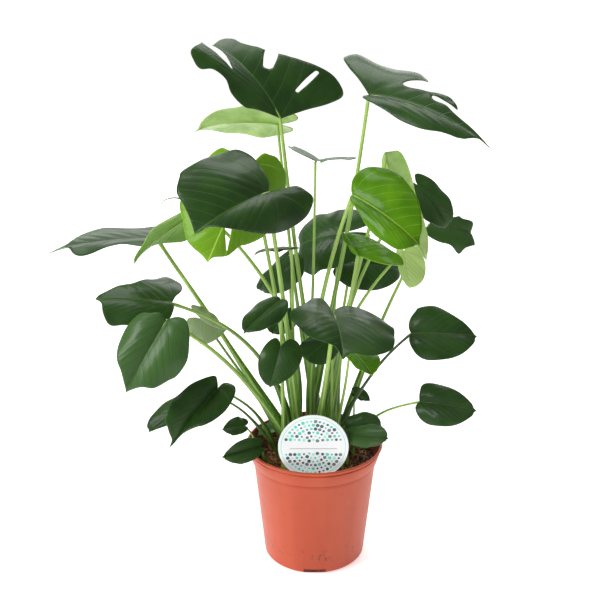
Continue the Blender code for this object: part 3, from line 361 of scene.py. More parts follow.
# Shoots: name, foot (x, y), and for each stalk its blade, its arch as a part of its length
# and its base radius
SHOOTS = [
    ("stalks_top_left", (12, 32), [
        ("leaf_top_left_split", 0.0, 0.0048),
        ("leaf_top_left_pale", -0.012, 0.0040),
    ]),
    ("stalk_top_right", (-17, 18), [("leaf_top_right_split", -0.01, 0.0050)]),
    ("stalk_top_thin", (-8, 50), [("leaf_top_thin", 0.0, 0.0034)]),
    ("stalks_front_heart", (-16, -16), [
        ("leaf_front_dark_heart", 0.0, 0.0052),
        ("leaf_bright_behind_heart", 0.0, 0.0045),
    ]),
    ("stalk_left_folded", (-33, 9), [("leaf_left_folded", 0.14, 0.0046)]),
    ("stalk_far_left", (-31, 23), [("leaf_far_left", 0.0, 0.0056)]),
    ("stalks_left_dark", (-34, -12), [
        ("leaf_left_dark", 0.17, 0.0046),
        ("leaf_left_pale", 0.02, 0.0036),
    ]),
    ("stalk_left_glossy", (-24, -34), [("leaf_left_glossy_heart", 0.07, 0.0048)]),
    ("stalks_low_left", (-55, -6), [
        ("leaf_low_left_long", 0.08, 0.0032),
        ("leaf_low_left_back", 0.08, 0.0030),
    ]),
    ("stalks_mid_left", (-44, -56), [
        ("leaf_mid_left_heart", 0.0, 0.0038),
        ("leaf_centre_small_heart", 0.0, 0.0034),
    ]),
    ("stalks_mid_back", (-30, 38), [
        ("leaf_mid_back_dark", 0.0, 0.0036),
        ("leaf_mid_thin", 0.0, 0.0036),
        ("leaf_mid_left_shadow", 0.0, 0.0034),
    ]),
    ("stalk_centre_wide", (0, -26), [("leaf_centre_wide", 0.0, 0.0052)]),
    ("stalks_centre_under", (26, -32), [
        ("leaf_centre_under_dark", 0.0, 0.0034),
        ("leaf_centre_under_bright", 0.0, 0.0034),
    ]),
    ("stalks_back_dark", (14, 50), [
        ("leaf_back_dark_left", 0.0, 0.0042),
        ("leaf_back_dark_right", 0.0, 0.0042),
    ]),
    ("stalks_bright_right", (-6, 5), [
        ("leaf_bright_right", 0.06, 0.0050),
        ("leaf_pale_rolled", 0.0, 0.0044),
    ]),
    ("stalk_bright_low_right", (16, 6), [("leaf_bright_low_right", 0.0, 0.0044)]),
    ("stalk_pale_hanging", (34, 16), [("leaf_pale_hanging", 0.13, 0.0040)]),
    ("stalks_far_right", (36, 40), [
        ("leaf_right_dark", 0.12, 0.0040),
        ("leaf_far_right_grey", 0.03, 0.0040),
    ]),
    ("stalk_right_heart", (22, -13), [("leaf_right_heart", 0.07, 0.0036)]),
    ("stalk_right_low", (52, 12), [("leaf_right_low_heart", 0.1, 0.0030)]),
]


@dataclass
class Skin:
    """Colours and gloss of one kind of blade on its upper side and its underside."""
    deep: tuple
    light: tuple
    vein: tuple
    young: tuple
    roughness: float
    shine: float
    coat: float
    glow: float
    under_name: str
    under_deep: tuple
    under_light: tuple
    under_coat: float = 0.0


SKINS = {
    "dark": Skin(
        deep=(0.009, 0.033, 0.004), light=(0.020, 0.062, 0.007), vein=(0.09, 0.18, 0.035),
        young=(0.10, 0.22, 0.06), roughness=0.36, shine=0.20, coat=0.10, glow=0.02,
        under_name="leaf_underside", under_deep=(0.10, 0.19, 0.055), under_light=(0.15, 0.26, 0.08)),
    "bright": Skin(
        deep=(0.048, 0.155, 0.002), light=(0.095, 0.250, 0.004), vein=(0.60, 0.85, 0.14),
        young=(0.24, 0.42, 0.03), roughness=0.28, shine=0.07, coat=0.16, glow=0.06,
        under_name="leaf_underside_bright", under_deep=(0.16, 0.32, 0.05), under_light=(0.22, 0.40, 0.08)),
    "pale": Skin(
        deep=(0.09, 0.15, 0.045), light=(0.13, 0.20, 0.06), vein=(0.52, 0.62, 0.30),
        young=(0.50, 0.68, 0.22), roughness=0.40, shine=0.20, coat=0.10, glow=0.08,
        under_name="leaf_underside_pale", under_deep=(0.24, 0.42, 0.06), under_light=(0.46, 0.63, 0.22),
        under_coat=0.3),
}
UNDER_VEIN = (0.40, 0.52, 0.20)
LEAF_DEPTHS = (0.004, 0.008, 0.001)  # how far red, green and blue light spread inside a blade


class Sheet:
    """Collects points, faces and their values for one mesh object."""

    def __init__(self):
        self.points, self.faces, self.kinds, self.flat = [], [], [], []
        self.blade, self.veins, self.tone, self.margin = [], [], [], []

    def add(self, points, faces, kind=0, blade=(0.5, 0.5), veins=(0.5, 0.5), tone=0.5, margin=1.0):
        """Adds points and faces; blade, veins, tone and margin are one value for all, or one per point."""
        first = len(self.points)
        count = len(points)
        self.points += [tuple(p) for p in points]
        self.faces += [tuple(first + i for i in face) for face in faces]
        self.kinds += [kind] * len(faces)
        self.flat += [False] * len(faces)
        self.blade += [tuple(v) for v in np.broadcast_to(blade, (count, 2))]
        self.veins += [tuple(v) for v in np.broadcast_to(veins, (count, 2))]
        self.tone += list(np.broadcast_to(tone, count))
        self.margin += list(np.broadcast_to(margin, count))
        return first

    def piece(self, name, materials):
        """Makes the object; kinds are places in the list of materials."""
        mesh = bpy.data.meshes.new(name)
        mesh.from_pydata(self.points, [], self.faces)
        mesh.polygons.foreach_set("material_index", self.kinds)
        mesh.polygons.foreach_set("use_smooth", [not flat for flat in self.flat])
        corners = np.empty(len(mesh.loops), int)
        mesh.loops.foreach_get("vertex_index", corners)
        for layer, values in (("blade", self.blade), ("veins", self.veins)):
            uv = mesh.uv_layers.new(name=layer)
            uv.data.foreach_set("uv", np.array(values, float)[corners].ravel())
        for attribute, values in (("tone", self.tone), ("margin", self.margin)):
            layer = mesh.attributes.new(attribute, "FLOAT", "POINT")
            layer.data.foreach_set("value", np.array(values, float))
        for mat in materials:
            mesh.materials.append(mat)
        mesh.validate()
        return add_object(name, mesh)


def add_object(name, data):
    """An object in the scene with the mesh, lamp or camera."""
    ob = bpy.data.objects.new(name, data)
    bpy.context.scene.collection.objects.link(ob)
    return ob


def add_from_bmesh(name, bm):
    """An object with the mesh that was built; bm is used up."""
    mesh = bpy.data.meshes.new(name)
    bm.to_mesh(mesh)
    bm.free()
    return add_object(name, mesh)


def polar(radius, angle, z=0.0):
    """A point at a distance from the upright axis, in a direction and at a height."""
    return radius * math.cos(angle), radius * math.sin(angle), z


def smooth_step(value, low, high):
    """Goes smoothly from 0 to 1 while the value goes from low to high."""
    share = np.clip((value - low) / (high - low), 0.0, 1.0)
    return share * share * (3 - 2 * share)


def spline(points, steps):
    """Catmull-Rom through the points, with its ends left free."""
    points = np.array(points, float)
    padded = np.vstack([2 * points[0] - points[1], points, 2 * points[-1] - points[-2]])
    u = np.linspace(0, 1, steps, endpoint=False)[:, None]
    pieces = []
    for a, b, c, d in zip(padded, padded[1:], padded[2:], padded[3:]):
        pieces.append(0.5 * (2 * b + (c - a) * u + (2 * a - 5 * b + 4 * c - d) * u ** 2
                             + (3 * b - a - 3 * c + d) * u ** 3))
    return np.vstack(pieces + [points[-1:]])


def inside(points, loop):
    """Which points lie inside the closed loop."""
    x, y = points[:, 0], points[:, 1]
    hit = np.zeros(len(points), bool)
    for (x0, y0), (x1, y1) in zip(loop, np.roll(loop, -1, axis=0)):
        if y0 != y1:
            hit ^= ((y0 > y) != (y1 > y)) & (x < x0 + (y - y0) * (x1 - x0) / (y1 - y0))
    return hit


def half_outline(leaf, side):
    """One half of the blade's margin as a smooth line, its lobe stretched to the leaf's own reach."""
    stretch = leaf.back[side] / LOBE_REACH if leaf.halves[side] in ("heart", "slim") else 1.0
    points = [(s * stretch if s < 0 else s, t * (1, -1)[side]) for s, t in HALVES[leaf.halves[side]]]
    return spline(points, MARGIN_STEPS)


def slit_loop(slit, length, width):
    """A slit as a closed loop: round at its start and, where it ends inside the blade, at its end."""
    size = np.array((length, width))
    start, end = np.array(slit[0]) * size, np.array(slit[1]) * size
    half_start, half_end = np.array(slit[2:]) * length
    run = np.linalg.norm(end - start)
    along = (end - start) / run
    across = np.array((-along[1], along[0]))
    share = np.linspace(0, 1, 10)[:, None]
    half = (half_start + (half_end - half_start) * share) * (1 + SLIT_BULGE * np.sin(math.pi * share))
    round_start = np.radians(np.linspace(255, 105, 8))[:, None]
    round_end = np.radians(np.linspace(75, -75, 8))[:, None]
    loop = np.vstack([
        start + half_start * (along * np.cos(round_start) + across * np.sin(round_start)),
        start + (end - start) * share + across * half,
        end + half_end * (along * np.cos(round_end) + across * np.sin(round_end)),
        (start + (end - start) * share - across * half)[::-1]])
    return loop / size


def frame_of(leaf):
    """The blade's four points in metres and the direction that its upper side faces."""
    base, tip, left, right = (np.array(p, float) * MM for p in (leaf.base, leaf.tip, leaf.left, leaf.right))
    up = np.cross(tip - base, left - right)
    return base, tip, left, right, up / np.linalg.norm(up)


def flat_blade(leaf):
    """The flat blade without its slits: points (along, across), triangles, and distances to a margin."""
    base, tip, left, right, _ = frame_of(leaf)
    length = np.linalg.norm(tip - base)
    width = 0.5 * np.linalg.norm(left - right)
    outline = np.vstack([half_outline(leaf, 0)[:-1], half_outline(leaf, 1)[:0:-1]])
    loops = [outline] + [slit_loop(slit, length, width) for slit in leaf.slits]
    step = min(GRID * MM, length / LEAST_ROWS)
    step_s, step_t = step / length, step / width
    rows = np.arange(outline[:, 0].min(), 1.0, step_s)
    columns = np.arange(0.0, np.abs(outline[:, 1]).max(), step_t)
    columns = np.concatenate([-columns[:0:-1], columns])
    grid = np.array([(s, t) for s in rows for t in columns])
    grid = grid[inside(grid, outline)]
    scale = np.array((1 / step_s, 1 / step_t))
    for loop in loops:
        nearest = np.min(np.linalg.norm((grid[:, None] - loop[None]) * scale, axis=2), axis=1)
        grid = grid[nearest > GRID_CLEAR]
    points = np.vstack(loops + [grid])
    edges = []
    first = 0
    for loop in loops:
        edges += [(first + i, first + (i + 1) % len(loop)) for i in range(len(loop))]
        first += len(loop)
    verts, _, faces, *_ = delaunay_2d_cdt([Vector(p) for p in points], edges, [], 1, 1e-6)
    verts = np.array([tuple(v) for v in verts])
    faces = np.array([face for face in faces if len(face) == 3])
    centres = verts[faces].mean(axis=1)
    keep = inside(centres, outline)
    for loop in loops[1:]:
        keep &= ~inside(centres, loop)
    faces = faces[keep]
    used, packed = np.unique(faces, return_inverse=True)
    verts = verts[used]
    size = np.array((length, width))
    margin = np.min([np.min(np.linalg.norm((verts[:, None] - loop[None]) * size, axis=2), axis=1)
                     for loop in loops], axis=0)
    return verts, packed.reshape(faces.shape), margin


def vein_phase(s, across):
    """Whole numbers on the side veins: forward ones along the midrib, then a fan into the lobes."""
    bent = s - VEIN_CURVE * across ** 2
    ahead = bent - VEIN_SLANT * across
    start = math.atan2(1, VEIN_SLANT)
    behind = (start - np.arctan2(across, bent)) / math.radians(VEIN_FAN)
    return np.where(ahead > 0, ahead * SIDE_VEINS, behind)


def on_blade(leaf, s, t):
    """Points of the bent blade at (along, across)."""
    base, tip, left, right, up = frame_of(leaf)
    bow = leaf.bow * MM
    middle = 4 * bow * np.where(s > 0, s * (1 - s), s)
    widest = base + (tip - base) * WIDEST + up * (4 * bow * WIDEST * (1 - WIDEST))
    across = np.abs(t)
    reach = np.where(t[:, None] > 0, left - widest, right - widest)
    lobe = np.clip((LIFT_START - s) / LIFT_RUN, 0, 1) * across
    rise = 4 * leaf.crown * across * (1 - across) + np.where(t > 0, leaf.lift[0], leaf.lift[1]) * lobe
    return base + np.outer(s, tip - base) + across[:, None] * reach + np.outer(middle + rise * MM, up)


def relief(leaf, s, t):
    """Height of the living surface over the plain bent blade: swellings, waves and the drooping tip."""
    base, tip, *_ = frame_of(leaf)
    length = np.linalg.norm(tip - base)
    across = np.abs(t)
    phase = vein_phase(s, across)
    swelling = -RIPPLE * length * np.cos(2 * math.pi * phase) * smooth_step(across, 0.03, 0.25)
    swelling *= (1 - 0.75 * smooth_step(across, 0.5, 1.0)) * (1 - smooth_step(s, 0.7, 0.95))
    turn = leaf.base[0] * 0.11 + leaf.base[2] * 0.07
    wave = WAVE_HEIGHT * across ** 3 * np.sin(2 * math.pi * WAVES * s + turn + np.where(t > 0, 1.7, 0.0))
    droop = TIP_DROOP * np.clip((s - DROOP_START) / (1 - DROOP_START), 0, 1) ** 2
    return swelling + wave - droop


def point_normals(points, faces):
    """The direction that the surface faces at each point, from the triangles that meet there."""
    normals = np.zeros_like(points)
    a, b, c = (points[faces[:, i]] for i in range(3))
    face_normals = np.cross(b - a, c - a)
    for i in range(3):
        np.add.at(normals, faces[:, i], face_normals)
    return normals / np.maximum(np.linalg.norm(normals, axis=1), 1e-12)[:, None]


def add_blade(sheet, leaf, tone):
    """A closed thin blade: upper side, lower side and the cut edge between them."""
    flat, faces, margin = flat_blade(leaf)
    s, t = flat[:, 0], flat[:, 1]
    up = frame_of(leaf)[4]
    points = on_blade(leaf, s, t) + np.outer(relief(leaf, s, t), up)
    normals = point_normals(points, faces)
    if (normals @ up).mean() < 0:
        faces = faces[:, ::-1]
        normals = -normals
    faces = faces.tolist()
    half = normals * (BLADE_THICKNESS / 2)
    veins = np.stack([vein_phase(s, np.abs(t)), np.abs(t)], axis=1)
    values = {"blade": np.vstack([flat, flat]), "veins": np.vstack([veins, veins]), "tone": tone,
              "margin": np.concatenate([margin, margin]) / MM}
    both = np.vstack([points + half, points - half])
    first = sheet.add(both, faces, 0, **values)
    count = len(points)
    under = [tuple(first + count + i for i in face[::-1]) for face in faces]
    sides = {(a, b) for face in faces for a, b in zip(face, face[1:] + face[:1])}
    rim = [(first + b, first + a, first + count + a, first + count + b)
           for a, b in sorted(sides) if (b, a) not in sides]
    sheet.faces += under + rim
    sheet.kinds += [1] * len(under) + [0] * len(rim)
    sheet.flat += [False] * len(under) + [True] * len(rim)


def add_tube(sheet, points, radii, kind=0, tone=0.5, flatten=None, sides=STALK_SIDES):
    """A closed tube along the points; flatten is how thin it is front to back at each point."""
    points = np.array(points, float)
    flatten = np.ones(len(points)) if flatten is None else flatten
    tangents = np.gradient(points, axis=0)
    tangents /= np.maximum(np.linalg.norm(tangents, axis=1), 1e-9)[:, None]
    side = np.cross(tangents[0], (0.3, 0.1, 1.0) if abs(tangents[0][2]) < 0.9 else (0.0, 1.0, 0.0))
    rings = []
    angles = np.linspace(0, 2 * math.pi, sides, endpoint=False)
    for point, tangent, radius, thin in zip(points, tangents, radii, flatten):
        side = side - tangent * np.dot(side, tangent)
        side /= np.linalg.norm(side)
        front = np.cross(tangent, side)
        circle = np.outer(np.cos(angles), side) + thin * np.outer(np.sin(angles), front)
        rings.append(point + radius * circle)
    count = len(points)
    faces = []
    for i in range(count - 1):
        for k in range(sides):
            n = (k + 1) % sides
            faces.append((i * sides + k, i * sides + n, (i + 1) * sides + n, (i + 1) * sides + k))
    faces.append(tuple(range(sides))[::-1])
    faces.append(tuple((count - 1) * sides + k for k in range(sides)))
    along = np.repeat(np.linspace(0, 1, count), sides)
    around = np.tile(angles / (2 * math.pi), count)
    sheet.add(np.vstack(rings), faces, kind, blade=np.stack([around, along], axis=1), tone=tone)


def stalk_route(foot, leaf, arch):
    """Points of a stalk from just inside the soil to its blade, and of the rib under the blade."""
    base, _, _, _, up = frame_of(leaf)
    end = base - up * BLADE_TO_STALK
    foot_point = np.array((foot[0] * MM, foot[1] * MM, SOIL_TOP))
    start = foot_point + (0, 0, UPRIGHT_START)
    run = end - start
    length = np.linalg.norm(run)
    level = np.array((-run[1], run[0], 0.0))
    rise = np.cross(run, level) if np.linalg.norm(level) > 0.001 else np.array((0.0, 0.0, 1.0))
    rise = rise / np.linalg.norm(rise) * (1 if rise[2] > 0 else -1)
    share = np.linspace(0, 1, STALK_POINTS)
    sway = np.sin(share * math.pi * 2 + leaf.base[0]) * STALK_SWAY * np.sin(share * math.pi)
    points = start + np.outer(share, run) + np.outer(4 * arch * length * share * (1 - share) + sway, rise)
    along, across = np.array(RIB_PLACES), np.zeros(len(RIB_PLACES))
    rib = on_blade(leaf, along, across) + np.outer(relief(leaf, along, across), up)
    return np.vstack([foot_point - (0, 0, STALK_SUNK), points]), rib - up * BLADE_TO_RIB


def add_stalk(sheet, foot, leaf, arch, base_radius):
    """A leaf stalk: a flattened sheath at its foot, a round stem, and the rib under the blade."""
    points, rib = stalk_route(foot, leaf, arch)
    steps = np.linalg.norm(np.diff(points, axis=0), axis=1)
    travelled = np.concatenate([[0.0], np.cumsum(steps)])
    whole = travelled[-1]
    sheath_length = min(SHEATH_LENGTH, SHEATH_MOST * whole)
    sheath = 1 - smooth_step(travelled, SHEATH_FULL * sheath_length, sheath_length)
    stem = base_radius * (STEM_SHARE + (STALK_TOP_SHARE - STEM_SHARE) * (travelled / whole))
    radii = stem + (base_radius * SHEATH_FLARE - stem) * sheath
    knee = np.exp(-((whole - travelled - KNEE) / KNEE) ** 2)
    radii = radii * (1 + KNEE_SWELLING * knee)
    flatten = np.concatenate([1 - SHEATH_THINNING * sheath, np.ones(len(rib))])
    radii = np.concatenate([radii, radii[-1] * np.array(RIB_SIZES)])
    add_tube(sheet, np.vstack([points, rib]), radii, tone=leaf.stalk_tone, flatten=flatten)


def wall_radius(z):
    """Outer radius of the pot's body at a height under the flared band."""
    share = (z - FOOT_CORNER) / (POT_HEIGHT - RIM_BAND - FOOT_CORNER)
    return FOOT_RADIUS + (NECK_RADIUS - FOOT_RADIUS) * share


def arc(cx, cz, radius, start, end, count):
    """Points of an arc round (cx, cz), from one angle to another in degrees."""
    angles = np.radians(np.linspace(start, end, count))
    return [(cx + radius * math.cos(a), cz + radius * math.sin(a)) for a in angles]


def turned(name, profile):
    """A closed solid of revolution; profile is (radius, z) from the outside top round to the inside."""
    bm = bmesh.new()
    angles = [math.tau * k / TURN_STEPS for k in range(TURN_STEPS)]
    rings = []
    for radius, z in profile:
        on_axis = radius < 1e-6
        rings.append([bm.verts.new(polar(radius, a, z)) for a in (angles[:1] if on_axis else angles)])
    for low, high in zip(rings, rings[1:] + rings[:1]):
        if len(low) == 1 and len(high) == 1:
            continue
        for k in range(TURN_STEPS):
            n = (k + 1) % TURN_STEPS
            corners = [low[k % len(low)], low[n % len(low)], high[n % len(high)], high[k % len(high)]]
            bm.faces.new(list(dict.fromkeys(corners)))
    bmesh.ops.recalc_face_normals(bm, faces=bm.faces)
    return add_from_bmesh(name, bm)


def block(size, centre, turn):
    """A box for cutting, turned about the upright."""
    bm = bmesh.new()
    bmesh.ops.create_cube(bm, size=1.0)
    bmesh.ops.scale(bm, vec=size, verts=bm.verts)
    ob = add_from_bmesh("cutter", bm)
    ob.location = centre
    ob.rotation_euler.z = turn
    return ob


def rod(radius, length, centre):
    """An upright cylinder for cutting."""
    bm = bmesh.new()
    bmesh.ops.create_cone(bm, cap_ends=True, segments=24, radius1=radius, radius2=radius, depth=length)
    ob = add_from_bmesh("cutter", bm)
    ob.location = centre
    return ob


def cut(ob, cutters):
    """Subtracts the cutters, applies it, and removes them."""
    for cutter in cutters:
        modifier = ob.modifiers.new("cut", "BOOLEAN")
        modifier.operation = "DIFFERENCE"
        modifier.object = cutter
    depsgraph = bpy.context.evaluated_depsgraph_get()
    mesh = bpy.data.meshes.new_from_object(ob.evaluated_get(depsgraph))
    ob.modifiers.clear()
    ob.data = mesh
    for cutter in cutters:
        bpy.data.objects.remove(cutter, do_unlink=True)


def shade_by_angle(ob, degrees):
    """Smooth shading, with sharp edges where faces meet at more than the angle."""
    bm = bmesh.new()
    bm.from_mesh(ob.data)
    for face in bm.faces:
        face.smooth = True
    for edge in bm.edges:
        if len(edge.link_faces) == 2 and edge.calc_face_angle() > math.radians(degrees):
            edge.smooth = False
    bm.to_mesh(ob.data)
    bm.free()


def pot_profile():
    """The pot's section as (radius, z): down the outside, in across the underside, up the inside."""
    band_bottom = POT_HEIGHT - RIM_BAND
    # Rolled lip, flared band and the rounded step under it
    outline = arc(RIM_RADIUS - LIP, POT_HEIGHT - LIP, LIP, 90, -60, 12)
    outline += arc(RIM_RADIUS - 0.0052, POT_HEIGHT - 0.0095, 0.0024, 60, 0, 5)
    outline += [(NECK_RADIUS + 0.0034, band_bottom + 0.004), (NECK_RADIUS + 0.0027, band_bottom + 0.0016)]
    outline += arc(NECK_RADIUS + 0.0017, band_bottom + 0.0016, 0.0010, 0, -90, 6)
    outline += [(NECK_RADIUS - 0.0003, band_bottom + 0.0002), (NECK_RADIUS - 0.0005, band_bottom - 0.0006),
                (NECK_RADIUS, band_bottom - 0.0018)]
    # Tapered wall and rounded foot
    for share in np.linspace(0.05, 0.95, 12):
        z = band_bottom + (FOOT_CORNER - band_bottom) * share
        outline.append((wall_radius(z), z))
    outline += arc(FOOT_RADIUS - FOOT_CORNER, FOOT_CORNER, FOOT_CORNER, 0, -86, 12)
    # Ring that the pot stands on, recessed underside and pad
    outline += [(RING_INNER + 0.0008, 0.0), (RING_INNER, 0.0008), (RING_INNER - 0.0005, FLOOR_UNDERSIDE),
                (PAD_RADIUS + 0.002, FLOOR_UNDERSIDE), (PAD_RADIUS, 0.0), (0.0, 0.0)]
    # Inside, from the floor back up to the lip
    outline += [(0.0, FLOOR_TOP), (FOOT_RADIUS - FOOT_CORNER - 0.002, FLOOR_TOP)]
    outline += [(wall_radius(z) - WALL, z) for z in np.linspace(WALL_START, band_bottom - 0.001, 10)]
    outline += [(NECK_RADIUS + 0.0008 - WALL, band_bottom + 0.0015),
                (NECK_RADIUS + 0.0020 - WALL, band_bottom + 0.003),
                (RIM_RADIUS - 0.0062, POT_HEIGHT - 0.0075)]
    return outline + arc(RIM_RADIUS - LIP, POT_HEIGHT - LIP, LIP, 180, 100, 7)


def make_pot(mats):
    """The nursery pot with its notches and holes; the inner wall and the back walls of the notches have the
    second finish, a painted shade.
    """
    pot = turned("pot_shell", pot_profile())
    cutters = []
    for i in range(NOTCH_COUNT):
        angle = -math.pi / 2 + i * math.tau / NOTCH_COUNT
        centre = polar(NOTCH_CIRCLE, angle, NOTCH_HEIGHT / 2 - CUT_EXTRA)
        cutters.append(block((NOTCH_DEPTH, NOTCH_WIDTH, NOTCH_HEIGHT + 2 * CUT_EXTRA), centre, angle))
    for i in range(HOLE_COUNT):
        angle = (i + 0.5) * math.tau / HOLE_COUNT
        cutters.append(rod(HOLE_RADIUS, CUT_ROD, polar(HOLE_CIRCLE, angle, FLOOR_TOP)))
    cut(pot, cutters)
    shade_by_angle(pot, SHARP_EDGE)
    pot.data.materials.clear()
    for mat in mats:
        pot.data.materials.append(mat)
    # Painted shade: faces that look inward above the floor, and the walls at the back of the notches, take
    # the darker second finish.
    for face in pot.data.polygons:
        x, y, z = face.center
        reach = math.hypot(x, y)
        outward = (face.normal.x * x + face.normal.y * y) / max(reach, 1e-6)
        in_notch = outward > 0.3 and reach < FOOT_RADIUS - FOOT_CORNER + 0.002 and z < NOTCH_HEIGHT
        face.material_index = 1 if in_notch or (outward < -0.3 and z > FLOOR_TOP) else 0
    return pot


def soil_height(x, y):
    """Height of the crumbly soil top at a place."""
    reach = math.hypot(x, y) / SOIL_RADIUS
    lumps = sum(height * noise.noise((x * fineness, y * fineness, pattern))
                for height, fineness, pattern in SOIL_LUMPS)
    fall = min(1.0, max(0.0, (reach - SOIL_EDGE_START) / (1 - SOIL_EDGE_START)))
    return SOIL_TOP - SOIL_SINK + lumps - SOIL_EDGE_DROP * fall ** 2


def make_soil(mat):
    """The body of soil: a lumpy top over a plain plug that fills the pot."""
    sheet = Sheet()
    clear = WALL + 2 * GAP
    edge_radius = wall_radius(SOIL_TOP - SOIL_EDGE_DROP - 0.004) - clear
    angles = np.linspace(0, math.tau, SOIL_SIDES, endpoint=False)
    points = [(0.0, 0.0, soil_height(0.0, 0.0))]
    for ring in range(1, SOIL_RINGS + 1):
        for angle in angles:
            x, y, _ = polar(edge_radius * ring / SOIL_RINGS, angle)
            points.append((x, y, soil_height(x, y)))
    plug = [(wall_radius(z) - clear, z) for z in (0.10, WALL_START)]
    plug.append((FOOT_RADIUS - FOOT_CORNER - 0.003, FLOOR_TOP + GAP))
    for radius, z in plug:
        points += [polar(radius, angle, z) for angle in angles]
    points.append((0.0, 0.0, FLOOR_TOP + GAP))
    faces = []
    rings = SOIL_RINGS + len(plug)
    for k in range(SOIL_SIDES):
        n = (k + 1) % SOIL_SIDES
        faces.append((0, 1 + k, 1 + n))
        for ring in range(rings - 1):
            a = 1 + ring * SOIL_SIDES
            faces.append((a + k, a + SOIL_SIDES + k, a + SOIL_SIDES + n, a + n))
        last = 1 + (rings - 1) * SOIL_SIDES
        faces.append((last + n, last + k, len(points) - 1))
    sheet.add(points, faces)
    return sheet.piece("soil_body", [mat])


def free_spots(rng, count, reach):
    """Random places on the soil up to a distance from its middle."""
    radii = np.sqrt(rng.uniform(0.0, reach ** 2, count))
    angles = rng.uniform(0, math.tau, count)
    return np.stack([radii * np.cos(angles), radii * np.sin(angles)], axis=1)


def crumb_shape():
    """Points and faces of a rough little ball."""
    bm = bmesh.new()
    bmesh.ops.create_icosphere(bm, subdivisions=1, radius=1.0)
    points = np.array([tuple(v.co) for v in bm.verts])
    faces = [[v.index for v in face.verts] for face in bm.faces]
    bm.free()
    return points, faces


def turn_matrix(rng):
    """A random rotation."""
    q, r = np.linalg.qr(rng.normal(size=(3, 3)))
    return q * np.sign(np.diag(r))


def make_crumbs(rng, mats):
    """Soil crumbs and flat bark bits that lie on the top."""
    points, faces = crumb_shape()
    sheet = Sheet()
    for x, y in free_spots(rng, CRUMBS, CRUMB_REACH):
        size = CRUMB_LEAST + CRUMB_GROWTH * rng.random() ** 2.5
        shape = points * (1 + 0.30 * rng.uniform(-1, 1, (len(points), 1))) * rng.uniform(0.6, 1.0, 3)
        place = (x, y, soil_height(x, y) + 0.25 * size)
        sheet.add(shape @ turn_matrix(rng) * size + place, faces, 0, tone=rng.random())
    for x, y in free_spots(rng, BARK_BITS, BARK_REACH):
        size = rng.uniform(*BARK_SIZES)
        shape = points * (1 + 0.18 * rng.uniform(-1, 1, (len(points), 1))) * BARK_SHAPE
        place = (x, y, soil_height(x, y) + 0.3 * size)
        sheet.add(shape @ turn_matrix(rng) * size + place, faces, 1, tone=rng.random())
    return sheet.piece("soil_crumbs", mats)


def make_fibres(rng, mat):
    """Loose coir fibres, thickest on the left, where a tuft of them lies."""
    sheet = Sheet()
    spots = list(free_spots(rng, FIBRES, FIBRE_REACH))
    for middle, spread, count in FIBRE_TUFTS:
        spots += [tuple(rng.normal(middle, spread)) for _ in range(count)]
    for x, y in spots:
        heading = rng.uniform(0, math.tau)
        length = rng.uniform(*FIBRE_LENGTHS)
        bend = rng.normal(0, 0.9)
        hump = rng.uniform(*FIBRE_HUMPS)
        points = []
        for share in np.linspace(0, 1, FIBRE_POINTS):
            turn = heading + bend * share
            x += math.cos(turn) * length / FIBRE_POINTS
            y += math.sin(turn) * length / FIBRE_POINTS
            squeeze = min(1.0, CRUMB_REACH / max(math.hypot(x, y), 1e-6))
            x, y = x * squeeze, y * squeeze
            points.append((x, y, soil_height(x, y) + hump * math.sin(math.pi * share)))
        radii = np.full(FIBRE_POINTS, rng.uniform(*FIBRE_RADII))
        add_tube(sheet, points, radii, tone=rng.random(), sides=5)
    return sheet.piece("coir_fibres", [mat])


def make_label(mat):
    """The round card on its pointed stake, with a softly rounded edge."""
    cx, cy, cz = LABEL_CENTRE
    half_stake = STAKE_WIDTH / 2
    start = -90 + math.degrees(math.asin(half_stake / LABEL_RADIUS))
    outline = arc(cx, cz, LABEL_RADIUS, start, 180 - start, 140)
    outline += [(cx - half_stake, STAKE_BOTTOM + STAKE_POINT), (cx, STAKE_BOTTOM),
                (cx + half_stake, STAKE_BOTTOM + STAKE_POINT)]
    bm = bmesh.new()
    front = [bm.verts.new((x, cy - LABEL_THICKNESS / 2, z)) for x, z in outline]
    face = bm.faces.new(front)
    grown = bmesh.ops.extrude_face_region(bm, geom=[face])
    moved = [v for v in grown["geom"] if isinstance(v, bmesh.types.BMVert)]
    bmesh.ops.translate(bm, verts=moved, vec=(0, LABEL_THICKNESS, 0))
    bmesh.ops.recalc_face_normals(bm, faces=bm.faces)
    uv = bm.loops.layers.uv.new("card")
    for face in bm.faces:
        for loop in face.loops:
            loop[uv].uv = ((loop.vert.co.x - cx) / LABEL_RADIUS, (loop.vert.co.z - cz) / LABEL_RADIUS)
    ob = add_from_bmesh("label_card", bm)
    ob.data.materials.append(mat)
    bevel = ob.modifiers.new("edge", "BEVEL")
    bevel.width = LABEL_BEVEL
    bevel.segments = 2
    bevel.limit_method = "ANGLE"
    bevel.angle_limit = math.radians(60)
    return ob


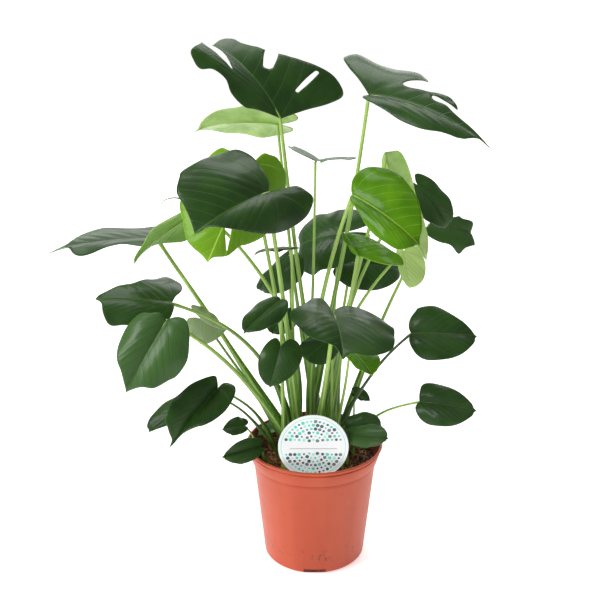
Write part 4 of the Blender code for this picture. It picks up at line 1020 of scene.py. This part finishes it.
class Finish:
    """A material and short ways to build its nodes."""

    def __init__(self, name, roughness=0.5):
        self.mat = bpy.data.materials.new(name)
        self.mat.use_nodes = True
        self.tree = self.mat.node_tree
        self.shader = self.tree.nodes["Principled BSDF"]
        self.shader.inputs["Roughness"].default_value = roughness

    def put(self, socket, value):
        """Links the output of a node to the socket, or sets the number or colour on it."""
        if isinstance(value, bpy.types.NodeSocket):
            self.tree.links.new(value, socket)
        elif hasattr(value, "__len__") and len(value) == 3 and socket.type == "RGBA":
            socket.default_value = (*value, 1.0)
        else:
            socket.default_value = value

    def set(self, **values):
        """Puts values into the shader's sockets; their names have _ for each space."""
        for name, value in values.items():
            self.put(self.shader.inputs[name.replace("_", " ")], value)

    def maths(self, operation, a, b=0.0):
        node = self.tree.nodes.new("ShaderNodeMath")
        node.operation = operation
        for socket, value in zip(node.inputs, (a, b)):
            self.put(socket, value)
        return node.outputs[0]

    def times(self, a, b):
        return self.maths("MULTIPLY", a, b)

    def plus(self, a, b):
        return self.maths("ADD", a, b)

    def length(self, a, b):
        return self.maths("SQRT", self.plus(self.times(a, a), self.times(b, b)))

    def fade(self, value, low, high, start=0.0, end=1.0):
        """Goes smoothly from start to end while the value goes from low to high."""
        node = self.tree.nodes.new("ShaderNodeMapRange")
        node.interpolation_type = "SMOOTHSTEP"
        for name, number in (("From Min", low), ("From Max", high), ("To Min", start), ("To Max", end)):
            node.inputs[name].default_value = number
        self.put(node.inputs["Value"], value)
        return node.outputs["Result"]

    def fall(self, value, low, high):
        return self.fade(value, low, high, 1.0, 0.0)

    def blend(self, factor, a, b):
        node = self.tree.nodes.new("ShaderNodeMix")
        node.data_type = "RGBA"
        self.put(node.inputs[0], factor)
        self.put(node.inputs[6], a)
        self.put(node.inputs[7], b)
        return node.outputs[2]

    def paint(self, colour, *layers):
        """Lays colours over the first one; each layer is (mask, strength, colour)."""
        for mask, strength, over in layers:
            colour = self.blend(self.times(mask, strength), colour, over)
        return colour

    def coordinates(self, stretch=None):
        """The place on the object in metres, or a stretched one."""
        node = self.tree.nodes.new("ShaderNodeTexCoord")
        if stretch is None:
            return node.outputs["Object"]
        mapping = self.tree.nodes.new("ShaderNodeMapping")
        mapping.inputs["Scale"].default_value = stretch
        self.put(mapping.inputs["Vector"], node.outputs["Object"])
        return mapping.outputs["Vector"]

    def split(self, vector):
        node = self.tree.nodes.new("ShaderNodeSeparateXYZ")
        self.put(node.inputs[0], vector)
        return node.outputs

    def uv(self, layer):
        node = self.tree.nodes.new("ShaderNodeUVMap")
        node.uv_map = layer
        return self.split(node.outputs[0])[:2]

    def value_of(self, attribute):
        node = self.tree.nodes.new("ShaderNodeAttribute")
        node.attribute_name = attribute
        return node.outputs["Fac"]

    def noise(self, vector, scale, detail, roughness=0.55):
        node = self.tree.nodes.new("ShaderNodeTexNoise")
        self.put(node.inputs["Vector"], vector)
        for name, number in (("Scale", scale), ("Detail", detail), ("Roughness", roughness)):
            node.inputs[name].default_value = number
        return node.outputs["Fac"]

    def bump(self, height, distance, strength):
        node = self.tree.nodes.new("ShaderNodeBump")
        node.inputs["Strength"].default_value = strength
        node.inputs["Distance"].default_value = distance
        self.put(node.inputs["Height"], height)
        self.put(self.shader.inputs["Normal"], node.outputs[0])


def leaf_finish(name, skin):
    """A blade's upper side: patchy green, pale midrib and side veins with a painted sheen beside them, a waxy
    skin.
    """
    f = Finish(name)
    s, t = f.uv("blade")
    phase, across = f.uv("veins")
    place = f.coordinates()
    from_side_vein = f.maths("PINGPONG", phase, 0.5)
    side_vein = f.times(f.fall(from_side_vein, 0.015, 0.055), f.fall(across, 0.45, 0.95))
    # Painted sheen: a lighter band of green on both sides of each side vein.
    sheen_beside_vein = f.fall(from_side_vein, 0.0, 0.30)
    fine_vein = f.fall(f.maths("PINGPONG", f.times(phase, 6.0), 0.5), 0.05, 0.30)
    midrib = f.times(f.fall(f.maths("ABSOLUTE", t), 0.008, 0.028), f.fade(s, -0.02, 0.02))
    edge = f.fall(f.value_of("margin"), 0.1, 0.8)
    green = f.blend(f.fade(f.noise(place, 22, 3), 0.30, 0.72), skin.deep, skin.light)
    green = f.paint(green, (f.value_of("tone"), 1.0, skin.young), (sheen_beside_vein, 0.18, skin.light),
                    (fine_vein, 0.10, skin.light), (side_vein, 0.12, skin.vein),
                    (midrib, 0.38, skin.vein), (edge, 0.45, skin.vein))
    rough = f.plus(f.times(f.noise(place, 60, 3), 0.18), skin.roughness - 0.09)
    f.set(Base_Color=green, Roughness=rough, Specular_IOR_Level=skin.shine,
          Coat_Weight=skin.coat, Coat_Roughness=0.10,
          Subsurface_Weight=skin.glow, Subsurface_Radius=LEAF_DEPTHS, Subsurface_Scale=0.3)
    lines = f.plus(f.times(side_vein, -0.8), f.times(midrib, -1.2))
    lines = f.plus(lines, f.times(fine_vein, -0.16))
    f.bump(f.plus(lines, f.times(f.noise(place, 900, 3), 0.20)), 0.0004, 0.8)
    return f.mat


def underside_finish(name, skin):
    """A blade's lower side: paler and duller, with veins that stand out; a young one has a satin skin."""
    f = Finish(name)
    _, t = f.uv("blade")
    phase, _ = f.uv("veins")
    place = f.coordinates()
    side_vein = f.fall(f.maths("PINGPONG", phase, 0.5), 0.02, 0.07)
    midrib = f.fall(f.maths("ABSOLUTE", t), 0.01, 0.04)
    green = f.blend(f.fade(f.noise(place, 30, 4), 0.3, 0.7), skin.under_deep, skin.under_light)
    green = f.paint(green, (f.maths("MAXIMUM", side_vein, midrib), 0.5, UNDER_VEIN))
    rough = f.plus(f.times(f.noise(place, 300, 3), 0.15), 0.48)
    f.set(Base_Color=green, Roughness=rough, Specular_IOR_Level=0.35,
          Coat_Weight=skin.under_coat, Coat_Roughness=0.2,
          Subsurface_Weight=0.1, Subsurface_Radius=LEAF_DEPTHS, Subsurface_Scale=0.3)
    lines = f.plus(f.times(side_vein, 0.7), midrib)
    f.bump(f.plus(lines, f.times(f.noise(place, 1200, 3), 0.2)), 0.0004, 0.7)
    return f.mat


def stalk_finish():
    """A fleshy stalk: pale at its foot, deep green in the sheath, pale green above; tone darkens it."""
    f = Finish("stalk_green")
    around, along = f.uv("blade")
    streaks = f.noise(f.coordinates((1.0, 1.0, 0.04)), 420, 3)
    patches = f.noise(f.coordinates(), 18, 3)
    edge = f.fade(f.maths("PINGPONG", around, 0.25), 0.19, 0.24)
    pale_foot, sheath = (0.46, 0.60, 0.13), (0.075, 0.205, 0.012)
    green = f.blend(f.fade(along, 0.02, 0.12), pale_foot, sheath)
    green = f.paint(green, (f.fade(along, 0.25, 0.75), 1.0, (0.33, 0.52, 0.10)),
                    (f.fade(patches, 0.35, 0.70), 0.4, (0.16, 0.31, 0.035)),
                    (f.fade(streaks, 0.45, 0.68), 0.30, (0.38, 0.56, 0.11)),
                    (edge, 0.65, (0.46, 0.62, 0.17)),
                    (f.fade(f.value_of("tone"), 0.5, 1.0), 1.0, (0.035, 0.075, 0.020)))
    rough = f.plus(f.times(streaks, 0.15), 0.30)
    f.set(Base_Color=green, Roughness=rough, Specular_IOR_Level=0.35,
          Subsurface_Weight=0.10, Subsurface_Radius=(0.004, 0.006, 0.001), Subsurface_Scale=0.4)
    f.bump(f.plus(streaks, edge), 0.0003, 0.6)
    return f.mat


def pot_finish():
    """Terracotta-coloured moulded plastic: soft upright bands, fine grain, a few scuffs near the foot."""
    f = Finish("terracotta_plastic")
    place = f.coordinates()
    height = f.split(place)[2]
    bands = f.noise(f.coordinates((1.0, 1.0, 0.06)), 16, 3)
    mottle = f.noise(place, 40, 5)
    near_foot = f.times(f.fade(height, 0.020, 0.030), f.fall(height, 0.038, 0.050))
    scuffs = f.fade(f.noise(f.coordinates((1.0, 1.0, 0.5)), 180, 4), 0.54, 0.62)
    scuffs = f.times(f.times(scuffs, f.fade(f.noise(place, 30, 2), 0.45, 0.60)), near_foot)
    dust = f.fade(f.noise(f.coordinates((1.0, 1.0, 0.3)), 60, 5), 0.60, 0.80)
    orange = f.blend(f.fade(bands, 0.30, 0.70), (0.49, 0.072, 0.027), (0.56, 0.095, 0.039))
    orange = f.paint(orange, (f.fade(mottle, 0.40, 0.75), 0.25, (0.46, 0.064, 0.028)),
                     (scuffs, 0.75, (0.20, 0.05, 0.03)), (dust, 0.10, (0.62, 0.33, 0.25)))
    f.set(Base_Color=orange, Roughness=f.plus(f.times(mottle, 0.12), 0.36), Specular_IOR_Level=0.35)
    relief_map = f.plus(f.times(f.noise(place, 1800, 2), 0.25), f.times(bands, 0.6))
    f.bump(f.maths("SUBTRACT", relief_map, f.times(scuffs, 0.4)), 0.0004, 0.6)
    return f.mat


def pot_shade_finish():
    """The inner wall over the soil and the backs of the notches: the same plastic, dulled, and darkened with
    painted shade.
    """
    f = Finish("terracotta_painted_shade", 0.6)
    mottle = f.noise(f.coordinates(), 90, 5, 0.7)
    # Dark reds that stand for the shade inside the pot: painted shade.
    red = f.blend(f.fade(mottle, 0.35, 0.65), (0.24, 0.040, 0.022), (0.09, 0.024, 0.014))
    f.set(Base_Color=red, Roughness=f.fade(mottle, 0.3, 0.7, 0.45, 0.85), Specular_IOR_Level=0.3)
    f.bump(mottle, 0.0004, 0.6)
    return f.mat


def soil_finish(name, dark, light, scale):
    """Peat: almost black to reddish brown, fully matt and rough."""
    f = Finish(name, 0.9)
    place = f.coordinates()
    brown = f.blend(f.fade(f.noise(place, scale, 6, 0.7), 0.35, 0.68), dark, light)
    brown = f.paint(brown, (f.value_of("tone"), 0.4, light))
    f.set(Base_Color=brown, Roughness=f.fade(f.noise(place, 500, 3), 0.3, 0.7, 0.70, 0.98),
          Specular_IOR_Level=0.3)
    f.bump(f.noise(place, 1100, 6, 0.7), 0.0008, 1.0)
    return f.mat


def fibre_finish():
    """Coir: from red-brown to straw."""
    f = Finish("coir_fibre")
    streaks = f.noise(f.coordinates(), 700, 3)
    red_brown, straw = (0.22, 0.070, 0.022), (0.75, 0.42, 0.19)
    brown = f.blend(f.fade(f.value_of("tone"), 0.2, 0.95), red_brown, straw)
    brown = f.paint(brown, (streaks, 0.4, (0.20, 0.09, 0.04)))
    f.set(Base_Color=brown, Roughness=f.fade(streaks, 0.3, 0.7, 0.55, 0.8), Specular_IOR_Level=0.3)
    f.bump(streaks, 0.0002, 0.5)
    return f.mat


def dot_pattern(f, x, y):
    """Rings of dots of different sizes round the card's middle: where ink lies, and a number for each dot."""
    reach = f.length(x, y)
    turn = f.maths("DIVIDE", f.maths("ARCTAN2", y, x), math.tau)
    ring = f.maths("ROUND", f.maths("DIVIDE", reach, DOT_STEP))
    ring_reach = f.times(ring, DOT_STEP)
    count = f.times(ring, DOTS_PER_RING)
    place = f.times(turn, count)
    spot = f.maths("ROUND", place)
    aside = f.times(f.maths("SUBTRACT", place, spot), math.tau * DOT_STEP)
    aside = f.maths("DIVIDE", aside, DOTS_PER_RING)
    beyond = f.maths("SUBTRACT", reach, ring_reach)
    spot_angle = f.times(f.maths("DIVIDE", spot, count), math.tau)
    spot_y = f.times(ring_reach, f.maths("SINE", spot_angle))
    seed = f.tree.nodes.new("ShaderNodeCombineXYZ")
    f.put(seed.inputs[0], ring)
    f.put(seed.inputs[1], f.maths("MODULO", f.plus(spot, count), count))
    random = f.tree.nodes.new("ShaderNodeTexWhiteNoise")
    random.noise_dimensions = "2D"
    f.put(random.inputs["Vector"], seed.outputs[0])
    chance = random.outputs["Value"]
    size = f.fade(f.maths("FRACT", f.times(chance, 7.0)), 0.0, 1.0, *DOT_SIZES)
    dot = f.fall(f.maths("SUBTRACT", f.length(aside, beyond), size), -0.003, 0.003)
    in_rings = f.fall(ring, DOT_RINGS + 0.1, DOT_RINGS + 0.2)
    off_band = f.fade(f.maths("ABSOLUTE", spot_y), BAND_HALF, BAND_HALF + 0.01)
    return f.times(dot, f.times(in_rings, off_band)), chance


def card_finish():
    """White printed card: rings of dots in greens and greys, a thin ring round them, an empty band, and a
    painted glow that is strongest at its bottom.
    """
    f = Finish("label_card", 0.32)
    x, y = f.uv("card")
    place = f.coordinates()
    dots, chance = dot_pattern(f, x, y)
    deep_teal, teal = (0.035, 0.10, 0.11), (0.10, 0.62, 0.50)
    mint, grey = (0.36, 0.78, 0.66), (0.16, 0.19, 0.19)
    ink = f.blend(f.fade(chance, 0.30, 0.32), deep_teal, teal)
    ink = f.paint(ink, (f.fade(chance, 0.62, 0.64), 1.0, mint), (f.fade(chance, 0.80, 0.82), 1.0, grey))
    reach = f.length(x, y)
    inner, outer = CARD_LINE
    ring_line = f.times(f.fade(reach, inner - 0.005, inner + 0.005),
                        f.fall(reach, outer - 0.005, outer + 0.005))
    off_rule = f.maths("ABSOLUTE", f.plus(y, -RULE_HEIGHT))
    rule = f.times(f.fall(off_rule, 0.006, 0.012),
                   f.fall(f.maths("ABSOLUTE", x), RULE_REACH, RULE_REACH + 0.02))
    paper = f.blend(f.fade(f.noise(place, 260, 3), 0.3, 0.7), (0.83, 0.84, 0.85), (0.87, 0.875, 0.88))
    colour = f.paint(f.blend(dots, paper, ink), (ring_line, 1.0, mint), (rule, 0.8, (0.12, 0.14, 0.15)))
    rough = f.fade(f.noise(place, 90, 3), 0.3, 0.7, 0.28, 0.40)
    # The card glows a little at the top and most at the bottom: painted light that lifts the shade on its
    # lower part inside the rim.
    f.set(Base_Color=colour, Roughness=rough, Specular_IOR_Level=0.5, Emission_Color=colour,
          Emission_Strength=f.fade(y, -1.0, 0.4, 0.35, 0.04))
    f.bump(f.noise(place, 2500, 2), 0.0001, 0.3)
    return f.mat


def floor_finish():
    """A matt white that glows a little, more so far from the pot."""
    f = Finish("studio_floor", 0.9)
    pale = f.blend(f.noise(f.coordinates(), 3, 2), (0.92, 0.92, 0.92), (0.94, 0.94, 0.94))
    away = f.tree.nodes.new("ShaderNodeVectorMath")
    away.operation = "LENGTH"
    f.put(away.inputs[0], f.coordinates())
    glow = f.fade(away.outputs["Value"], *FLOOR_GLOW_REACH, FLOOR_GLOW_NEAR, FLOOR_GLOW_FAR)
    f.set(Base_Color=pale, Specular_IOR_Level=0.1, Emission_Color=(1.0, 1.0, 1.0), Emission_Strength=glow)
    return f.mat


def add_softbox(name, place, size, power):
    """A rectangular lamp that faces the middle of the plant."""
    lamp = bpy.data.lights.new(name, "AREA")
    lamp.shape = "RECTANGLE"
    lamp.size, lamp.size_y = size
    lamp.energy = power
    ob = add_object(name, lamp)
    ob.location = place
    ob.rotation_euler = (Vector(LIT_PLACE) - Vector(place)).to_track_quat("-Z", "Y").to_euler()


def make_studio():
    """A pale floor that glows a little, an even white world and three soft lights."""
    bm = bmesh.new()
    bmesh.ops.create_grid(bm, x_segments=4, y_segments=4, size=FLOOR_REACH)
    floor = add_from_bmesh("floor", bm)
    floor.data.materials.append(floor_finish())
    world = bpy.data.worlds.new("studio")
    bpy.context.scene.world = world
    world.use_nodes = True
    background = world.node_tree.nodes["Background"]
    background.inputs["Color"].default_value = (1.0, 1.0, 1.0, 1.0)
    background.inputs["Strength"].default_value = WORLD_LIGHT
    for name, (place, size, power) in SOFTBOXES.items():
        add_softbox(name, place, size, power)


def make_camera():
    """The photo's view: straight on, from a little above."""
    bpy.context.scene.view_settings.view_transform = "Standard"
    camera = bpy.data.cameras.new("camera")
    camera.lens = LENS
    camera.sensor_width = SENSOR
    ob = add_object("camera", camera)
    ob.location = CAMERA_PLACE
    ob.rotation_euler = (math.radians(90 - CAMERA_DOWN), 0.0, 0.0)
    bpy.context.scene.camera = ob


def take_over(piece, slot, *nodes):
    """The piece rides on the part's body and stands for the nodes; the slot is not used."""
    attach(piece, "root")
    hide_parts(*nodes)


def make_blades(rng, stalk_mat):
    """Every blade, with the short stalk of a low one or a dry curled end behind it."""
    mats = {kind: (leaf_finish(f"leaf_{kind}", skin), underside_finish(skin.under_name, skin))
            for kind, skin in SKINS.items()}
    for leaf in LEAVES:
        chance = CHANCE_TONE * rng.random()
        sheet = Sheet()
        add_blade(sheet, leaf, chance if leaf.tone is None else leaf.tone)
        materials = list(mats[leaf.colour])
        if leaf.curl:
            points = spline(np.array(leaf.curl) * MM, 4)
            radii = CURL_RADIUS * np.linspace(1.0, 0.3, len(points))
            add_tube(sheet, points, radii, len(materials))
            materials.append(mats["dark"][1])
        if leaf.own_foot:
            points = np.vstack(stalk_route(leaf.own_foot, leaf, OWN_STALK_ARCH))
            radii = OWN_STALK_RADIUS * np.linspace(1.2, 0.5, len(points))
            add_tube(sheet, points, radii, len(materials), OWN_STALK_TONE)
            materials.append(stalk_mat)
        piece = sheet.piece(leaf.name.replace("leaf_", "blade_"), materials)
        take_over(piece, f"leaf_{leaf.colour}", leaf.name)


def make_shoots(stalk_mat):
    """Every shoot; the stalks of one shoot stand close round its foot, each on its blade's side."""
    leaves = {leaf.name: leaf for leaf in LEAVES}
    for name, foot, stalks in SHOOTS:
        sheet = Sheet()
        for leaf_name, arch, radius in stalks:
            leaf = leaves[leaf_name]
            heading = math.atan2(leaf.base[1] - foot[1], leaf.base[0] - foot[0])
            aside = polar(SHARED_FOOT_SPREAD if len(stalks) > 1 else 0.0, heading)
            add_stalk(sheet, (foot[0] + aside[0], foot[1] + aside[1]), leaf, arch, radius)
        take_over(sheet.piece(name.replace("stalk", "stem", 1), [stalk_mat]), "stalk_green", name)


def main():
    """Remakes every node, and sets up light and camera."""
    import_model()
    rng = np.random.default_rng(SEED)
    stalk_mat = stalk_finish()
    make_blades(rng, stalk_mat)
    make_shoots(stalk_mat)
    take_over(make_pot([pot_finish(), pot_shade_finish()]), "terracotta_plastic", "pot")
    soil_mat = soil_finish("potting_soil", (0.012, 0.006, 0.003), (0.135, 0.056, 0.028), 240)
    bark_mat = soil_finish("bark", (0.045, 0.018, 0.010), (0.300, 0.115, 0.055), 400)
    take_over(make_soil(soil_mat), "potting_soil", "soil")
    for piece in (make_crumbs(rng, [soil_mat, bark_mat]), make_fibres(rng, fibre_finish())):
        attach(piece, "root")
    take_over(make_label(card_finish()), "label_card", "label")
    make_studio()
    make_camera()


main()
